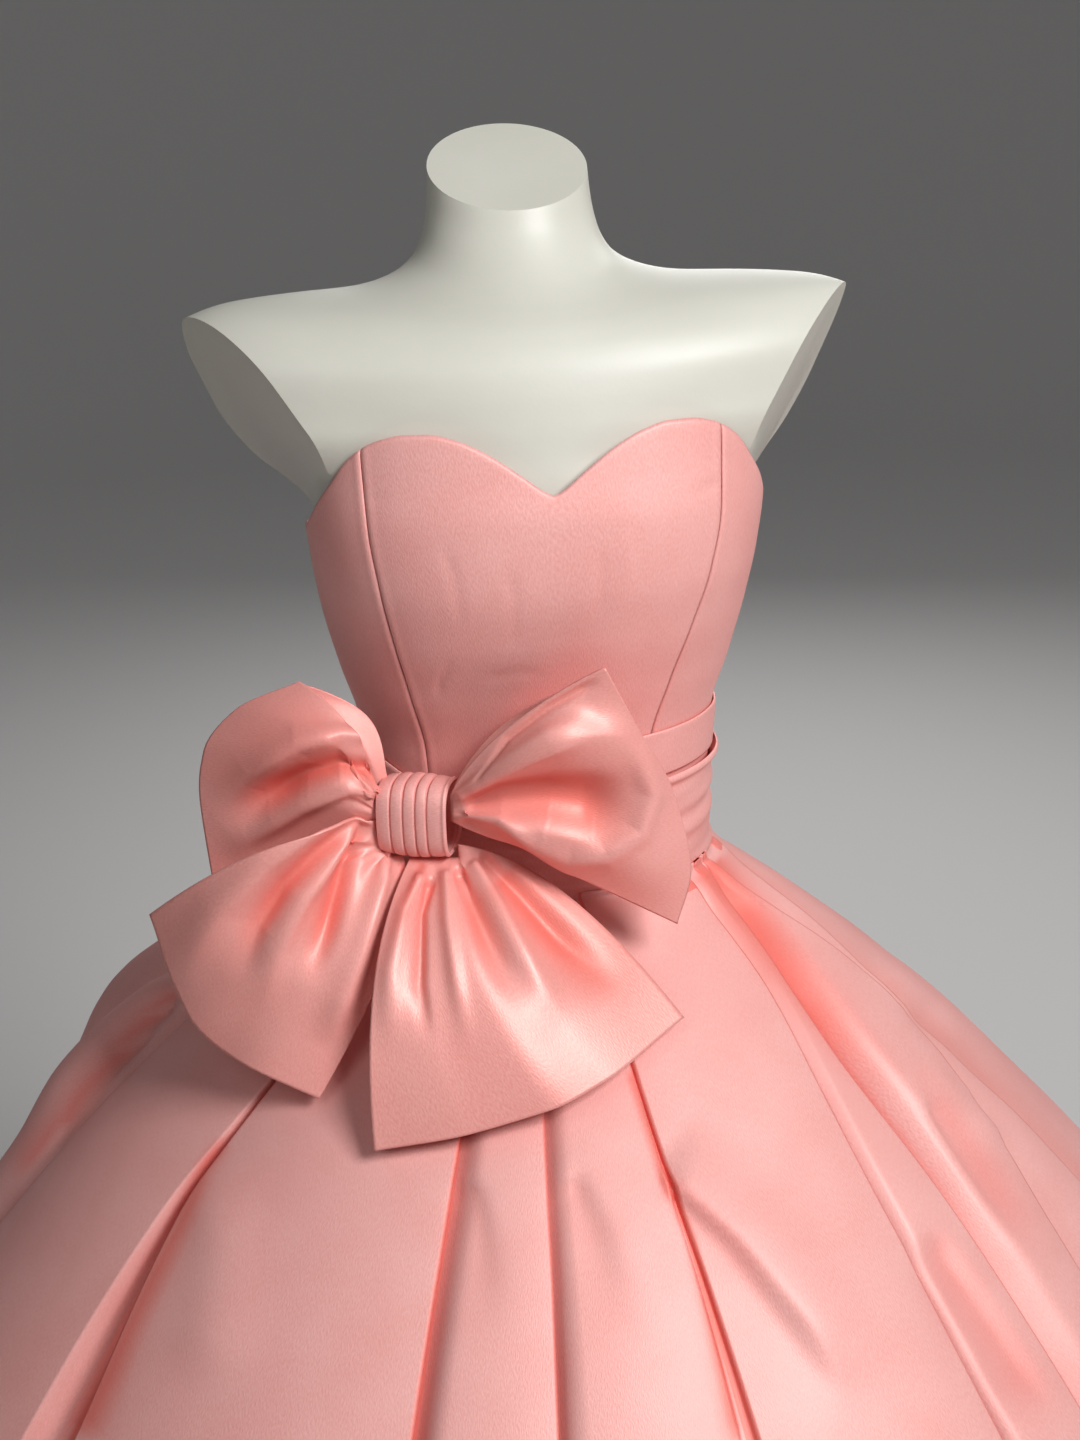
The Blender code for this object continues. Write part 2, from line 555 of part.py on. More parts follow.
def panel_profile(left, right, drop, radius):
    """The panel between two pleats: a function from degrees to its outward height."""
    (start, start_height), (end, end_height) = left.panel_start(), right.panel_end()
    width = (end - start) % 360.0
    swell = 2 * PANEL_CROWN * radius * math.radians(width) * (1 - math.exp(-drop / 8.0))

    def height(angle):
        t = ((angle - start + 180.0) % 360.0 - 180.0) / width
        t = min(max(t, 0.0), 1.0)
        ease = t * t * (3 - 2 * t)
        return (start_height + (end_height - start_height) * ease
                + (swell + 4 * left.puff) * t * (1 - t))
    return start, width, height


def skirt_section(drop):
    """All the skirt's points at one drop, from the first pleat round to it again."""
    radius = float(column(SKIRT_SPREAD, 1, drop))
    pleats = [Pleat(row, drop, radius) for row in PLEATS]
    panels = [panel_profile(pleat, pleats[(k + 1) % len(pleats)], drop, radius)
              for k, pleat in enumerate(pleats)]
    section = []
    for k, pleat in enumerate(pleats):
        start, width, height = panels[k]
        cover_width = width if pleat.kind == "under" else panels[k - 1][1]
        pleat.lap = min(pleat.lap, MAX_UNDERLAP * cover_width)
        section.extend(pleat.points(panels[k - 1][2], height))
        section.extend((start + width * t, height(start + width * t)) for t in PANEL_STEPS)
    angles = np.array([a for a, _ in section])
    heights = np.array([h for _, h in section])
    reach = skirt_radius(angles, drop) + heights
    turn = np.radians(angles)
    level = WAIST_Z - SKIRT_TOP_DROP - drop
    return np.stack([reach * np.sin(turn), -reach * np.cos(turn),
                     np.full(len(angles), level)], axis=-1)


def make_skirt(satin):
    """Three pleated panels, joined at seams hidden inside pleats."""
    grid = np.array([skirt_section(drop) for drop in SKIRT_ROWS])[::-1]
    normals = grid_normals(grid, True)
    per_pleat = PLEAT_POINTS + len(PANEL_STEPS)
    names = [row[0] for row in PLEATS]
    left, right, back = (names.index(n) * per_pleat + step for n, step in SKIRT_SEAMS)
    total = grid.shape[1]
    for name, first, last in (("skirt_front", left, right), ("skirt_back_right", right, back),
                              ("skirt_back_left", back, left + total)):
        picks = np.arange(first, last + 1) % total
        panel = grid[:, picks].copy()
        trim_edge(panel, 0, 1)
        trim_edge(panel, -1, -2)
        shell(name, panel, SKIRT_WALL, satin, normals=normals[:, picks])


def trim_edge(panel, edge, neighbour):
    """Pull a panel's seam edge back by half the gap between pieces."""
    step = panel[:, neighbour] - panel[:, edge]
    length = np.linalg.norm(step, axis=1, keepdims=True)
    panel[:, edge] += step / length * PIECE_GAP / 2


# ------------------------------------------------------------------ bow
def ray_table(rays, index, across):
    """One column of a petal's rays, read across the petal."""
    places = np.linspace(0.0, 1.0, len(rays))
    return smooth(places, [ray[index] for ray in rays], across)


def petal_front(rays, rows, cols):
    """A petal's front layer, rows from the knot out and columns from ray to ray."""
    across = np.linspace(0.0, 1.0, cols)
    root, middle, end = (
        np.stack([ray_table(rays, k, across), -ray_table(rays, k + 1, across),
                  ray_table(rays, k + 2, across)], axis=-1) for k in (0, 3, 6))
    control = 2 * middle - (root + end) / 2
    grid = []
    for t in np.linspace(0.0, 1.0, rows) ** 0.9:
        grid.append((1 - t) ** 2 * root + 2 * t * (1 - t) * control + t * t * end)
    return np.array(grid)


def loop_grid(rays, rows, cols):
    """A loop's whole strip: out along its front layer, round its end, back behind."""
    front = petal_front(rays, rows, cols)
    yaw = math.radians(BOW_YAW)
    back_way = np.array([-math.sin(yaw), math.cos(yaw), 0.0])
    reach = np.linspace(0.0, 1.0, rows)
    fullness = 0.5 + 0.5 * np.sin(math.pi * reach ** 0.7) ** 2
    depth = LOOP_DEPTH * fullness * np.sqrt(np.clip(1 - reach ** 6, 0.0, 1.0))
    behind = front + back_way * depth[:, None, None]
    narrow = 0.06 * reach[:, None, None] * (front.mean(axis=1, keepdims=True) - front)
    return np.concatenate([front, (behind + narrow)[-2::-1]])


def knot_grid(steps=20, cols=11):
    """The knot: a pleated band round the bow's middle, from side to side."""
    grid = []
    for turn in np.linspace(0.0, 2 * math.pi, steps + 1)[:-1]:
        row = []
        for c in range(cols):
            across = -1.0 + 2.0 * c / (cols - 1)
            pleat = 0.10 * abs(math.sin(KNOT_PLEATS * math.pi * (across + 1) / 2))
            pinch = 1.0 - 0.10 * across ** 2
            swell = 1.0 + pleat / KNOT_HALF_HEIGHT
            depth = KNOT_HALF_DEPTH if math.cos(turn) > 0 else KNOT_BACK_DEPTH
            row.append((KNOT_HALF_WIDTH * across,
                        -depth * pinch * swell * rounded(math.cos(turn), 2.6),
                        KNOT_HALF_HEIGHT * pinch * swell * rounded(math.sin(turn), 2.6)))
        grid.append(row)
    return np.array(grid).transpose(1, 0, 2)


def make_bow(satin):
    """The knot, two loops and two tails."""
    centre = np.array(BOW_CENTRE)
    yaw = math.radians(BOW_YAW)
    turn = np.array([[math.cos(yaw), -math.sin(yaw), 0.0],
                     [math.sin(yaw), math.cos(yaw), 0.0], [0.0, 0.0, 1.0]])
    knot = knot_grid() @ turn.T + centre + np.array(KNOT_OFFSET)
    shell("bow_knot", knot, KNOT_WALL, satin, closed=True)
    for name, rays in (("bow_loop_right", LOOP_RIGHT_RAYS), ("bow_loop_left", LOOP_LEFT_RAYS)):
        shell(name, loop_grid(rays, 9, 9) + centre, BOW_WALL, satin)
    for name, rays in (("bow_tail_right", TAIL_RIGHT_RAYS), ("bow_tail_left", TAIL_LEFT_RAYS)):
        shell(name, petal_front(rays, 11, 11) + centre, BOW_WALL, satin)


# ------------------------------------------------------------------ the whole part
def main():
    for old in list(bpy.data.objects):
        bpy.data.objects.remove(old, do_unlink=True)
    satin = material("satin", (0.84, 0.33, 0.31), 0.4)
    bow_satin = material("bow_satin", (0.86, 0.33, 0.31), 0.34)
    white = material("form_white", (0.72, 0.71, 0.66), 0.45)
    steel = material("stand_steel", (0.62, 0.62, 0.60), 0.35, 1.0)
    make_form(white)
    make_stand(steel)
    make_bodice(satin)
    make_sash(satin)
    make_skirt(satin)
    make_bow(bow_satin)


main()
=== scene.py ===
"""The visual model of a strapless satin party dress on a limbless display form.

Each cloth piece is a thin shell on its solid's form, with its folds laid on as soft ridges
and troughs. The folds are placed where the photograph shows them, by pixels of the
1080 x 1440 frame. A point attribute, painted_shade, says how deep in the folds the cloth lies
and paints shade there: a deeper red, as where folds are lit only by light bounced from other
folds. Tables are in centimetres, degrees and pixels; meshes in metres.
"""
import math

import bmesh
import bpy
import numpy as np
from mathutils import Matrix, Vector


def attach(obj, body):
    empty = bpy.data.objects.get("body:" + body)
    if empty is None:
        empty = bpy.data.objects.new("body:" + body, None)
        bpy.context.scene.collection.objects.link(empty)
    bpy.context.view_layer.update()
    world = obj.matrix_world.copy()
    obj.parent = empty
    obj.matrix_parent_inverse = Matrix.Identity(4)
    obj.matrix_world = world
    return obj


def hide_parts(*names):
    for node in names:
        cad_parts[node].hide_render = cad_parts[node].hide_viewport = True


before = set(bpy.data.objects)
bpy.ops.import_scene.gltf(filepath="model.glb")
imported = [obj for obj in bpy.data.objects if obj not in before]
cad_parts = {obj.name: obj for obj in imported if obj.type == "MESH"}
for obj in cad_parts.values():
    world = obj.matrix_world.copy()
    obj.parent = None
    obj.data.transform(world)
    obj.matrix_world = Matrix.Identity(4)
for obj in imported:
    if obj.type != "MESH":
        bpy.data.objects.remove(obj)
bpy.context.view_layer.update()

CM = 0.01
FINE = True

# ---- the photograph's camera ----
PHOTO_WIDTH, PHOTO_HEIGHT = 1080, 1440
FOCAL_PIXELS = 2042.0
CAMERA_AZIMUTH, CAMERA_ELEVATION, CAMERA_ROLL = -7.09, 21.93, -1.81
CAMERA_TARGET = (0.16, -2.93, 111.07)
CAMERA_DISTANCE = 130.78
CM_PER_PIXEL = 0.062  # at the dress

# ---- sizes shared with the solids ----
WAIST_Z = 100.7
BODICE_WALL = 0.16
FORM_CLEARANCE = 0.11
BUST_CLEARANCE = 0.20
SASH_WALL = 0.14
SASH_LIFT = 0.12
SKIRT_WALL = 0.11
SKIRT_TOP_DROP = 0.03
BOW_CENTRE = (-8.3, -8.6, 107.7)
PIECE_GAP = 0.03
TORSO_BOTTOM_Z = 80.0
ARM_CUT_OFFSET = 0.4
ARM_CUT_POINT = (20.4, 1.2, 137.4)
ARM_CUT_NORMAL = (0.82, -0.42, -0.39)
ARM_CUT_LOW_Z = 124.0
ARM_CUT_REACH = 30.0
CUP_Z, CUP_REACH = 121.5, 5.0  # where the form's bust stands back from the bodice
CHEST_TOP_Z = 123.5  # the form's rings go on by NECK_RINGS from here

# z, centre, half_width, front, back, power
BODY_SECTIONS = [
    (80, 0, 16.8, 11.4, 12, 2.15),
    (86, 0, 17, 11.5, 12.4, 2.15),
    (93, 0, 15, 10.2, 10.8, 2.15),
    (100.7, 0.1, 11.45, 7.9, 8.4, 2.1),
    (105, 0.2, 11.3, 8, 7.6, 2.1),
    (110.8, 0.3, 11.5, 8.4, 7.6, 2.1),
    (115, 0.35, 12.6, 9.5, 8.3, 2.15),
    (119, 0.35, 13.5, 10.8, 8.9, 2.3),
    (122.5, 0.4, 14, 11.4, 9.2, 2.5),
    (126, 0.45, 14.3, 11.1, 9.3, 2.6),
    (129, 0.45, 14.2, 10.4, 9.3, 2.6),
    (132.5, 0.45, 14, 9.6, 9.3, 2.6),
]

# centre, side_x, side_y, side_z, front_y, front_z, back_y, back_z, power
NECK_RINGS = [
    (0.4, 13.4, 0, 124.3, -10.5, 123.8, 8.8, 124.2, 2.4),
    (0.45, 13.8, 0.1, 125.8, -10, 126, 8.8, 125.6, 2.2),
    (0.45, 15.2, 0.3, 127.2, -9.5, 128, 8.8, 127.2, 2),
    (0.45, 19.2, 0.6, 128.5, -8.9, 129.8, 8.7, 128.8, 1.85),
    (0.45, 23.4, 0.9, 131.2, -8.4, 131.6, 8.5, 130.4, 1.85),
    (0.4, 23.4, 1.1, 134, -7.9, 133.3, 8.2, 132.1, 1.9),
    (0.4, 22, 1.2, 136, -7.4, 134.6, 7.9, 133.6, 2),
    (0.4, 20.2, 1.3, 137.2, -6.9, 135.5, 7.6, 134.7, 2),
    (0.35, 17.6, 1.3, 137.9, -6.4, 136.2, 7.4, 135.6, 2),
    (0.3, 14, 1.4, 138.2, -5.9, 136.8, 7.1, 136.4, 2),
    (0.2, 10.3, 1.5, 138.35, -5.2, 137.4, 6.9, 137.2, 2),
    (0.1, 7.8, 1.8, 138.8, -4.4, 138, 6.7, 138.6, 2),
    (0, 6.2, 2.3, 139.7, -3.5, 138.8, 6.7, 140.4, 2),
    (0, 5.35, 2.8, 141.3, -2.5, 140, 7.1, 142.4, 2),
    (0, 5, 3.2, 143.2, -1.5, 141.6, 7.6, 144.8, 2),
    (0, 4.88, 3.42, 144.87, -1, 142.81, 7.84, 146.93, 2),
]

# angle, z
BODICE_TOP = [
    (0, 128), (4.5, 129.3), (11, 130.6), (17, 131.3), (24, 131.65),
    (31, 131.6), (38, 131.3), (44.5, 130.8), (52, 129.9), (60, 128.5),
    (68, 127.2), (78, 125.6), (90, 124.3), (110, 123.7), (180, 123.5),
]

# z, princess_left, princess_right
BODICE_SEAMS = [
    (100.7, -38, 30),
    (111, -41.5, 32),
    (122, -42.6, 38),
    (132, -46, 43),
]

# left seam, right seam, columns, and the angle that one column follows, if any
BODICE_PANELS = {
    "bodice_front": ("princess_left", "princess_right", 141, 0),
    "bodice_side_left": (-90, "princess_left", 61, None),
    "bodice_side_right": ("princess_right", 90, 61, None),
    "bodice_back_left": (-180, -90, 81, None),
    "bodice_back_right": (90, 180, 81, None),
}
BODICE_ROWS = 110
MEAN_RADIUS = 9.0  # of the bodice, to turn a seam's gap into degrees
SEAM_GROOVE, SEAM_GROOVE_WIDTH = 0.07, 0.10
SEAM_RIDGE, SEAM_RIDGE_PLACE, SEAM_RIDGE_WIDTH = 0.03, 0.35, 0.25
TOP_ROLL, TOP_ROLL_WIDTH = 0.05, 0.12

# angle, wrap_top, band_top
SASH_HEIGHTS = [
    (-180, 108, 111.2), (-90, 108, 111), (-60, 107.6, 109.6),
    (-44, 107.4, 108.9), (-28, 107.5, 109.2), (0, 107.9, 110.7),
    (30, 108.1, 111.4), (60, 108.2, 111.4), (90, 108.1, 111.2), (180, 108, 111.2),
]
SASH_COLUMNS, WRAP_ROWS, BAND_ROWS = 240, 60, 30
SASH_GAP = 0.1  # over the waist seam, and between wrap and band
SASH_FOLD_BULGE, SASH_FOLD_DROP, SASH_FOLD_REACH = 0.45, 0.35, 0.55
BAND_EDGE, BAND_EDGE_WIDTH, BAND_CROWN = 0.06, 0.12, 0.03

# drop, radius
SKIRT_SPREAD = [
    (0, 11.6), (1.5, 12.9), (3.1, 15), (5.2, 18), (7.5, 20.8), (11, 24.8),
    (16, 30.3), (22, 36), (30, 42.8), (40, 50), (48, 54.6), (56, 58.4),
]
SKIRT_LENGTH = 56.0
STACK_HEIGHT, STACK_REACH = 1.25, 2.2
WAIST_REACH = 10.0  # over this drop the waist's shape turns round
WAIST_SQUEEZE, SQUEEZE_REACH = 0.85, 0.8  # the layers are pressed flat in the waist seam

# Pleats, from the back's left round the front to the back's right, as the solids have them.
# kind; the folded edge's angle at each of PLEAT_DROPS, or one for all; how deep the hidden
# side starts, near the waist and near the hem; how far the edge stands out, the same way;
# how many cm the hidden side takes to rise, or 0 for the whole panel; the swell of the panel
# right of it; and for an open pleat, its width halfway and low down.
PLEAT_DROPS = (0.0, 3.0, 6.0, 10.0, 15.0, 21.0, 28.0, 40.0, 56.0)
PLEATS = [
    ("under", -156, (0.9, 0.9), (0.3, 0.3)),
    ("under", (-133, -133, -132, -132, -132, -131, -131, -130, -130),
     (0.9, 0.9), (0.3, 0.3), 0, 4.8),
    ("under", (-108, -108, -107, -107, -105, -104, -103, -102, -101),
     (1, 1), (1.3, 0.8), 0, 3.4),
    ("under", (-88, -88, -88, -88, -87.5, -87, -87, -86, -85), (1.9, 1.6), (0.6, 0.5), 9),
    ("open", (-52, -53.5, -55.5, -57.8, -59.6, -59.8, -59.6, -60, -61),
     (1.5, 1.9), (0.5, 0.5), 0, 0, (1, 5.6)),
    ("over", (-22, -21.7, -21, -20.5, -20.3, -20.3, -20.3, -20.3, -20.3),
     (0.6, 0.8), (0.2, 0.3), 1.8),
    ("over", (-7.6, -7.4, -7.1, -6.8, -6.5, -6.5, -6.5, -6.5, -6.5),
     (0.45, 0.55), (0.1, 0.15), 1.3),
    ("open", (11, 10.8, 10.2, 10.3, 10.6, 10.5, 10.4, 10.2, 10),
     (0.12, 0.2), (0.1, 0.15), 0, 0, (0.4, 1.7)),
    ("over", (56, 51.5, 46.2, 40.8, 37.2, 35.5, 34.6, 32.5, 30), (0.6, 0.8), (0.6, 0.7), 1.2),
    ("over", (66, 58.8, 51.8, 48, 46.8, 45.8, 44.9, 42.5, 40), (4.4, 0.7), (0.6, 0.5), 3),
    ("over", (71, 71, 71, 68.8, 63, 58, 55.2, 54.6, 54), (0.7, 0.9), (1.9, 0.9)),
    ("over", (88, 83, 78, 73.5, 71.5, 71, 70.5, 70.2, 70), (0.9, 0.7), (0.7, 0.5)),
    ("over", (106, 104, 102, 101, 100, 99, 98, 97, 96), (0.6, 0.6), (-0.4, -0.9)),
    ("over", (131, 131, 130, 130, 130, 130, 130, 129, 129), (0.9, 0.9), (0.3, 0.3)),
    ("over", 156, (0.9, 0.9), (0.3, 0.3)),
    ("open", 179, (1.2, 1.2), (0.3, 0.3), 0, 0, (0, 1)),
]
WAIST_ZONE, HEM_ZONE = 7.0, 24.0  # the drops that near the waist and the hem mean
FOLD_DROPS = (0.0, 10.0, 25.0, 56.0)
FOLD_HEIGHT = (0.22, 0.26, 0.36, 0.6)
TUCK_HEIGHT = (0.16, 0.2, 0.3, 0.4)
UNDERLAP = (1.2, 2.4, 3.6, 5.0)
MAX_UNDERLAP = 0.42  # as a share of the panel that covers it
SEAM_ALLOWANCE = 0.5  # the skirt's top edge, up between the bodice and the sash
SEAM_INSET = 0.2  # how far a side edge draws back, as a share of its column
LEAST_GAP = 0.14  # between the edges of an open pleat that meet
HEM_GAP = 1.3  # how much wider an open pleat is at the hem than low down
SLOT_FLOOR = (0.08, 0.3, 0.5, 0.92)  # places across an open pleat's floor
FOLD_TURN = 0.12  # how wide the folded edge is
UNDERCUT = 1.2  # how far the next panel starts under the folded edge, in its turns
PLEAT_REACH = 6.0  # over this drop the pleats grow from nothing at the waist
PUFF_DROP, PUFF_REACH = 14.0, 8.0
PANEL_CROWN, CROWN_REACH = 0.075, 8.0  # a panel's swell, as a share of its width
FOLD_POINTS = 8
SKIRT_SEAMS = [(2, 4), (12, 3), (15, 4)]  # pleat, which of its fold points
EDGE_STEP, EDGE_POINTS = 0.14, 5  # a panel's closest points, at its edges
INNER_POINTS = [{4: 22, 7: 40}.get(k, 14) if FINE else 6 for k in range(len(PLEATS))]
SKIRT_ROWS = 111 if FINE else 50
ROW_CROWDING = 1.25  # rows lie closer towards the waist
CORNER_CUTS = 1

# Painted shade: how deep the satin's colour is, from 0 to 1, where light comes only from other
# folds.
FULL_SHADE_TROUGH, SKIRT_FULL_SHADE_TROUGH = 1.7, 3.6  # a trough of this height gets all of the painted shade
SHALLOW, FULL_TRENCH = 0.35, 1.5  # below a panel: the painted shade starts here, and is full so much lower
EDGE_SHADE = 0.8  # painted shade along a pleat's folded edge
# How far cloth faces the photograph's camera, as a cosine, where its folds start and are full.
FOLDS_FACE, SKIRT_FOLDS_FACE = (-0.1, 0.25), (-0.5, -0.1)

# root_right, root_forward, root_up, mid_right, ..., end_right, end_forward, end_up
LOOP_RIGHT_RAYS = [
    (1.8, 2.8, 0.7, 8.1, 4.6, -2.3, 15.2, 5.2, -6.4),
    (1.8, 3, 1.1, 8.8, 6.3, 0.4, 16.1, 5.1, -2.7),
    (1.8, 3, 1.5, 9.3, 5.7, 3.3, 15.1, 4.9, 2.2),
    (1.8, 3, 1.9, 8.1, 6.6, 6.7, 13.3, 5.3, 6),
    (1.8, 2.8, 2.3, 5.1, 4.4, 7, 10.9, 6, 11),
]
LOOP_LEFT_RAYS = [
    (-2.6, 1.1, -0.3, -6.7, 0, -2.2, -12.9, -2.4, -5.8),
    (-2.6, 1.4, 0.9, -7.1, 1, 2.1, -13.3, -2.8, 1),
    (-2.6, 1.4, 1.3, -6.7, 1.4, 4.5, -12.8, -3, 4.1),
    (-2.65, 1.35, 1.8, -5.6, 1.4, 6.4, -10.6, -2.8, 6.8),
    (-2.3, 1.1, 2.5, -3.8, 0.9, 6.5, -6.6, -1.8, 8.7),
]
TAIL_LEFT_RAYS = [
    (-1.1, 0.9, -2.15, -2.3, 4.5, -6.7, -7.4, 7.6, -14.8),
    (-2, 0.9, -2.15, -5.4, 5, -6.1, -10.7, 6.4, -13.4),
    (-2.55, 1.1, -1.6, -7.7, 4.4, -4.5, -12.9, 4.6, -12.7),
    (-2.6, 1.2, -0.9, -8.6, 4, -2.9, -14.8, 2.8, -11.4),
    (-2.6, 1.5, 0.5, -9.6, 3.2, 0, -17, -1.2, -5.8),
]
TAIL_RIGHT_RAYS = [
    (-0.7, 1.5, -2.1, -3.6, 7.5, -7.2, -4.4, 12.1, -15.9),
    (0.5, 1.8, -2.1, -0.5, 8.3, -7.2, 1.2, 12.9, -14.9),
    (1.6, 2, -2.1, 2.1, 8.4, -6.5, 5.8, 13, -13.8),
    (2.2, 2.2, -2, 4.6, 7.2, -5.9, 9.4, 11.9, -12.9),
    (2.2, 2.2, -1.2, 8.4, 3.6, -4.3, 15, 8.2, -11.2),
]
LOOP_DEPTH = 2.8
BOW_WALL = 0.2
GATHER_HEIGHT, GATHER_REACH = 0.07, 0.15
LOOP_GATHERS, TAIL_GATHERS = (4.0, 0.6), (3.5, 1.4)  # how many, and where they start
PETAL_POINTS = 108 if FINE else 60
KNOT_WALL = 0.25
KNOT_POINTS = (72, 151)  # round it and across
KNOT_BANDS = (-1.0, -0.6, -0.23, 0.12, 0.44, 1.0)  # where its bands meet, across
KNOT_HALF_WIDTH, KNOT_HALF_HEIGHT = 2.2, 2.45
KNOT_HALF_DEPTH, KNOT_BACK_DEPTH = 1.65, 2.6
KNOT_OFFSET = (-0.1, -1.25, 0.5)
KNOT_PINCH, KNOT_POWER = 0.10, 2.6
BAND_BULGE, CRACK_DEPTH, CRACK_WIDTH = 0.07, 0.2, 0.055
RIM_HEIGHT, RIM_PLACE, RIM_WIDTH = 0.14, 0.93, 0.06
BOW_YAW = -20.0

# Folds laid on the cloth. Each is height at its start, height at its end, width to its left,
# width to its right, how much wider it is at its end, fade at its start, fade at its end,
# then x, y of each pixel that it runs through. Left and right are as seen when following it.
SKIRT_FOLDS = [
    (0.9, 1.2, 2.4, 0.7, 1.7, 0.04, 0.45, 662, 1170, 691, 1190, 735, 1229, 800, 1308, 870, 1410),
    (-0.5, -0.3, 0.6, 1.2, 2.2, 0.08, 0.7, 470, 1182, 480, 1250, 486, 1350),
    (-0.6, -0.3, 0.6, 1.3, 2.2, 0.08, 0.7, 570, 1176, 596, 1240, 622, 1350),
    (0.5, 0.5, 1.6, 1.6, 1.6, 0.3, 0.3, 215, 1150, 225, 1250, 205, 1400),
    (-0.8, -0.7, 0.6, 1.6, 1.4, 0.2, 0.3, 925, 1225, 990, 1320, 1060, 1430),
    (-0.9, -0.6, 1, 0.5, 1.4, 0.2, 0.4, 925, 1085, 975, 1165, 1040, 1260),
    (0.45, 0.3, 0.4, 0.8, 1.5, 0.2, 0.5, 930, 1068, 950, 1088, 978, 1100),
    (0.45, 0.3, 0.4, 0.8, 1.5, 0.2, 0.5, 970, 1112, 990, 1130, 1010, 1138),
    (0.8, 0.5, 1.2, 0.8, 1.6, 0.2, 0.5, 870, 960, 940, 1000, 1010, 1075),
    (-0.7, -0.4, 1, 0.8, 1.6, 0.2, 0.5, 905, 1000, 960, 1035, 1025, 1110),
    (0.9, 0.6, 0.8, 1.3, 1.5, 0.1, 0.4, 175, 975, 107, 1030, 71, 1080, 32, 1151),
    (-1.2, -1, 0.2, 0.9, 1.5, 0.05, 0.3, 178, 992, 120, 1060, 70, 1125, 20, 1185),
]
# In a table of shade strokes, the heights are how much painted shade the cloth gets there.
SKIRT_SHADE_STROKES = [
    (1.1, 0.6, 1.3, 1.1, 1.4, 0.02, 0.4, 706, 864, 746, 915, 792, 974, 842, 1038, 900, 1110),
    (0.4, 0.25, 0.3, 0.9, 1.8, 0.03, 0.5, 662, 1174, 691, 1196, 735, 1240, 800, 1322),
    (0.2, 0.25, 0.9, 0.5, 1.5, 0.2, 0.4, 900, 1050, 945, 1110, 990, 1180, 1040, 1262),
    (0.15, 0.25, 0.7, 1.1, 1.6, 0.2, 0.2, 925, 1215, 985, 1310, 1050, 1415),
    (0.9, 1, 0.16, 0.3, 2, 0.02, 0.02, 628, 1066, 667, 1185, 692, 1234, 738, 1440),
    (0.8, 0.9, 0.5, 0.5, 2, 0.05, 0.05, 230, 1135, 205, 1167, 182, 1223, 143, 1301, 107, 1380,
     79, 1440),
    (0.6, 0.6, 0.15, 0.9, 1.4, 0.02, 0.15, 179, 991, 125, 1051, 57, 1130, 8, 1186),
]
LOOP_RIGHT_FOLDS = [
    (0.35, 1, 0.3, 0.5, 3.6, 0.03, 0.35, 456, 797, 499, 768, 548, 738, 600, 712),
    (-0.35, -2.1, 0.45, 0.7, 4, 0.05, 0.35, 462, 803, 500, 794, 550, 796, 600, 806, 645, 812),
    (0.25, 0.6, 0.3, 0.35, 2.6, 0.04, 0.2, 458, 810, 500, 818, 532, 846, 570, 862, 608, 857,
     640, 833, 652, 794, 634, 736),
    (-0.25, -0.35, 0.16, 0.18, 1.4, 0.1, 0.15, 476, 786, 508, 738, 548, 708, 602, 678),
    (-0.2, -0.4, 0.2, 0.28, 2.4, 0.06, 0.45, 460, 818, 492, 830, 524, 852, 562, 882),
]
LOOP_LEFT_FOLDS = [
    (0.3, 0.95, 0.25, 0.4, 4, 0.04, 0.4, 402, 782, 386, 752, 366, 737, 340, 736, 300, 746,
     255, 775, 222, 812),
    (-0.6, -1.7, 0.3, 0.45, 3.6, 0.04, 0.4, 394, 790, 370, 770, 338, 766, 300, 780, 262, 802,
     228, 835),
    (0.25, 0.7, 0.25, 0.4, 3, 0.04, 0.4, 386, 794, 348, 790, 303, 808, 250, 838, 222, 862),
    (-0.3, -0.4, 0.16, 0.22, 2, 0.06, 0.5, 400, 772, 386, 748, 366, 728, 326, 716),
]
TAIL_LEFT_FOLDS = [
    (0.25, 0.9, 0.3, 0.5, 4.2, 0.04, 0.4, 378, 803, 322, 826, 268, 864, 222, 912, 190, 960,
     172, 1005),
    (-0.5, -1.4, 0.28, 0.4, 3.2, 0.04, 0.45, 374, 812, 322, 853, 284, 888, 256, 926, 236, 985),
    (0.3, 0.8, 0.25, 0.4, 3.6, 0.04, 0.45, 370, 816, 336, 860, 306, 900, 280, 950, 256, 1020),
    (-0.65, -1.3, 0.3, 0.4, 2.8, 0.04, 0.5, 368, 822, 350, 860, 334, 905, 306, 990),
    (0.4, 1, 0.4, 0.5, 2.4, 0.04, 0.25, 386, 828, 384, 880, 362, 950, 325, 1050),
]
TAIL_RIGHT_FOLDS = [
    (0.4, 0.6, 0.35, 0.4, 2.6, 0.04, 0.5, 424, 872, 404, 912, 392, 970, 388, 1060),
    (-0.6, -0.55, 0.2, 0.35, 2, 0.04, 0.5, 432, 878, 422, 912, 420, 985, 430, 1050),
    (0.35, 0.25, 0.35, 0.35, 1.8, 0.04, 0.5, 446, 868, 448, 920, 456, 980, 470, 1060),
    (-0.55, -0.8, 0.28, 0.4, 3, 0.04, 0.55, 458, 866, 476, 905, 505, 965, 535, 1010),
    (0.45, 0.7, 0.3, 0.45, 3.6, 0.04, 0.5, 472, 858, 496, 900, 524, 955, 566, 1035),
    (-0.5, -1.1, 0.3, 0.5, 3.6, 0.04, 0.5, 480, 852, 520, 890, 562, 935, 622, 1000),
]
# The bow's strokes of painted shade: a deeper red where its folds lie in shade.
LOOP_RIGHT_SHADE_STROKES = [
    (0.5, 0.2, 0.5, 0.8, 2.4, 0.02, 0.5, 462, 800, 510, 790, 560, 785, 610, 790),
    (0.4, 0.3, 0.3, 0.4, 1.6, 0.02, 0.5, 460, 822, 500, 838, 560, 878),
]
LOOP_LEFT_SHADE_STROKES = [
    (0.3, 0.3, 2.4, 2.4, 1.3, 0.2, 0.2, 345, 720, 260, 745, 222, 810),
    (0.45, 0.3, 0.5, 0.6, 2.4, 0.02, 0.4, 394, 785, 345, 768, 300, 780, 245, 812),
]
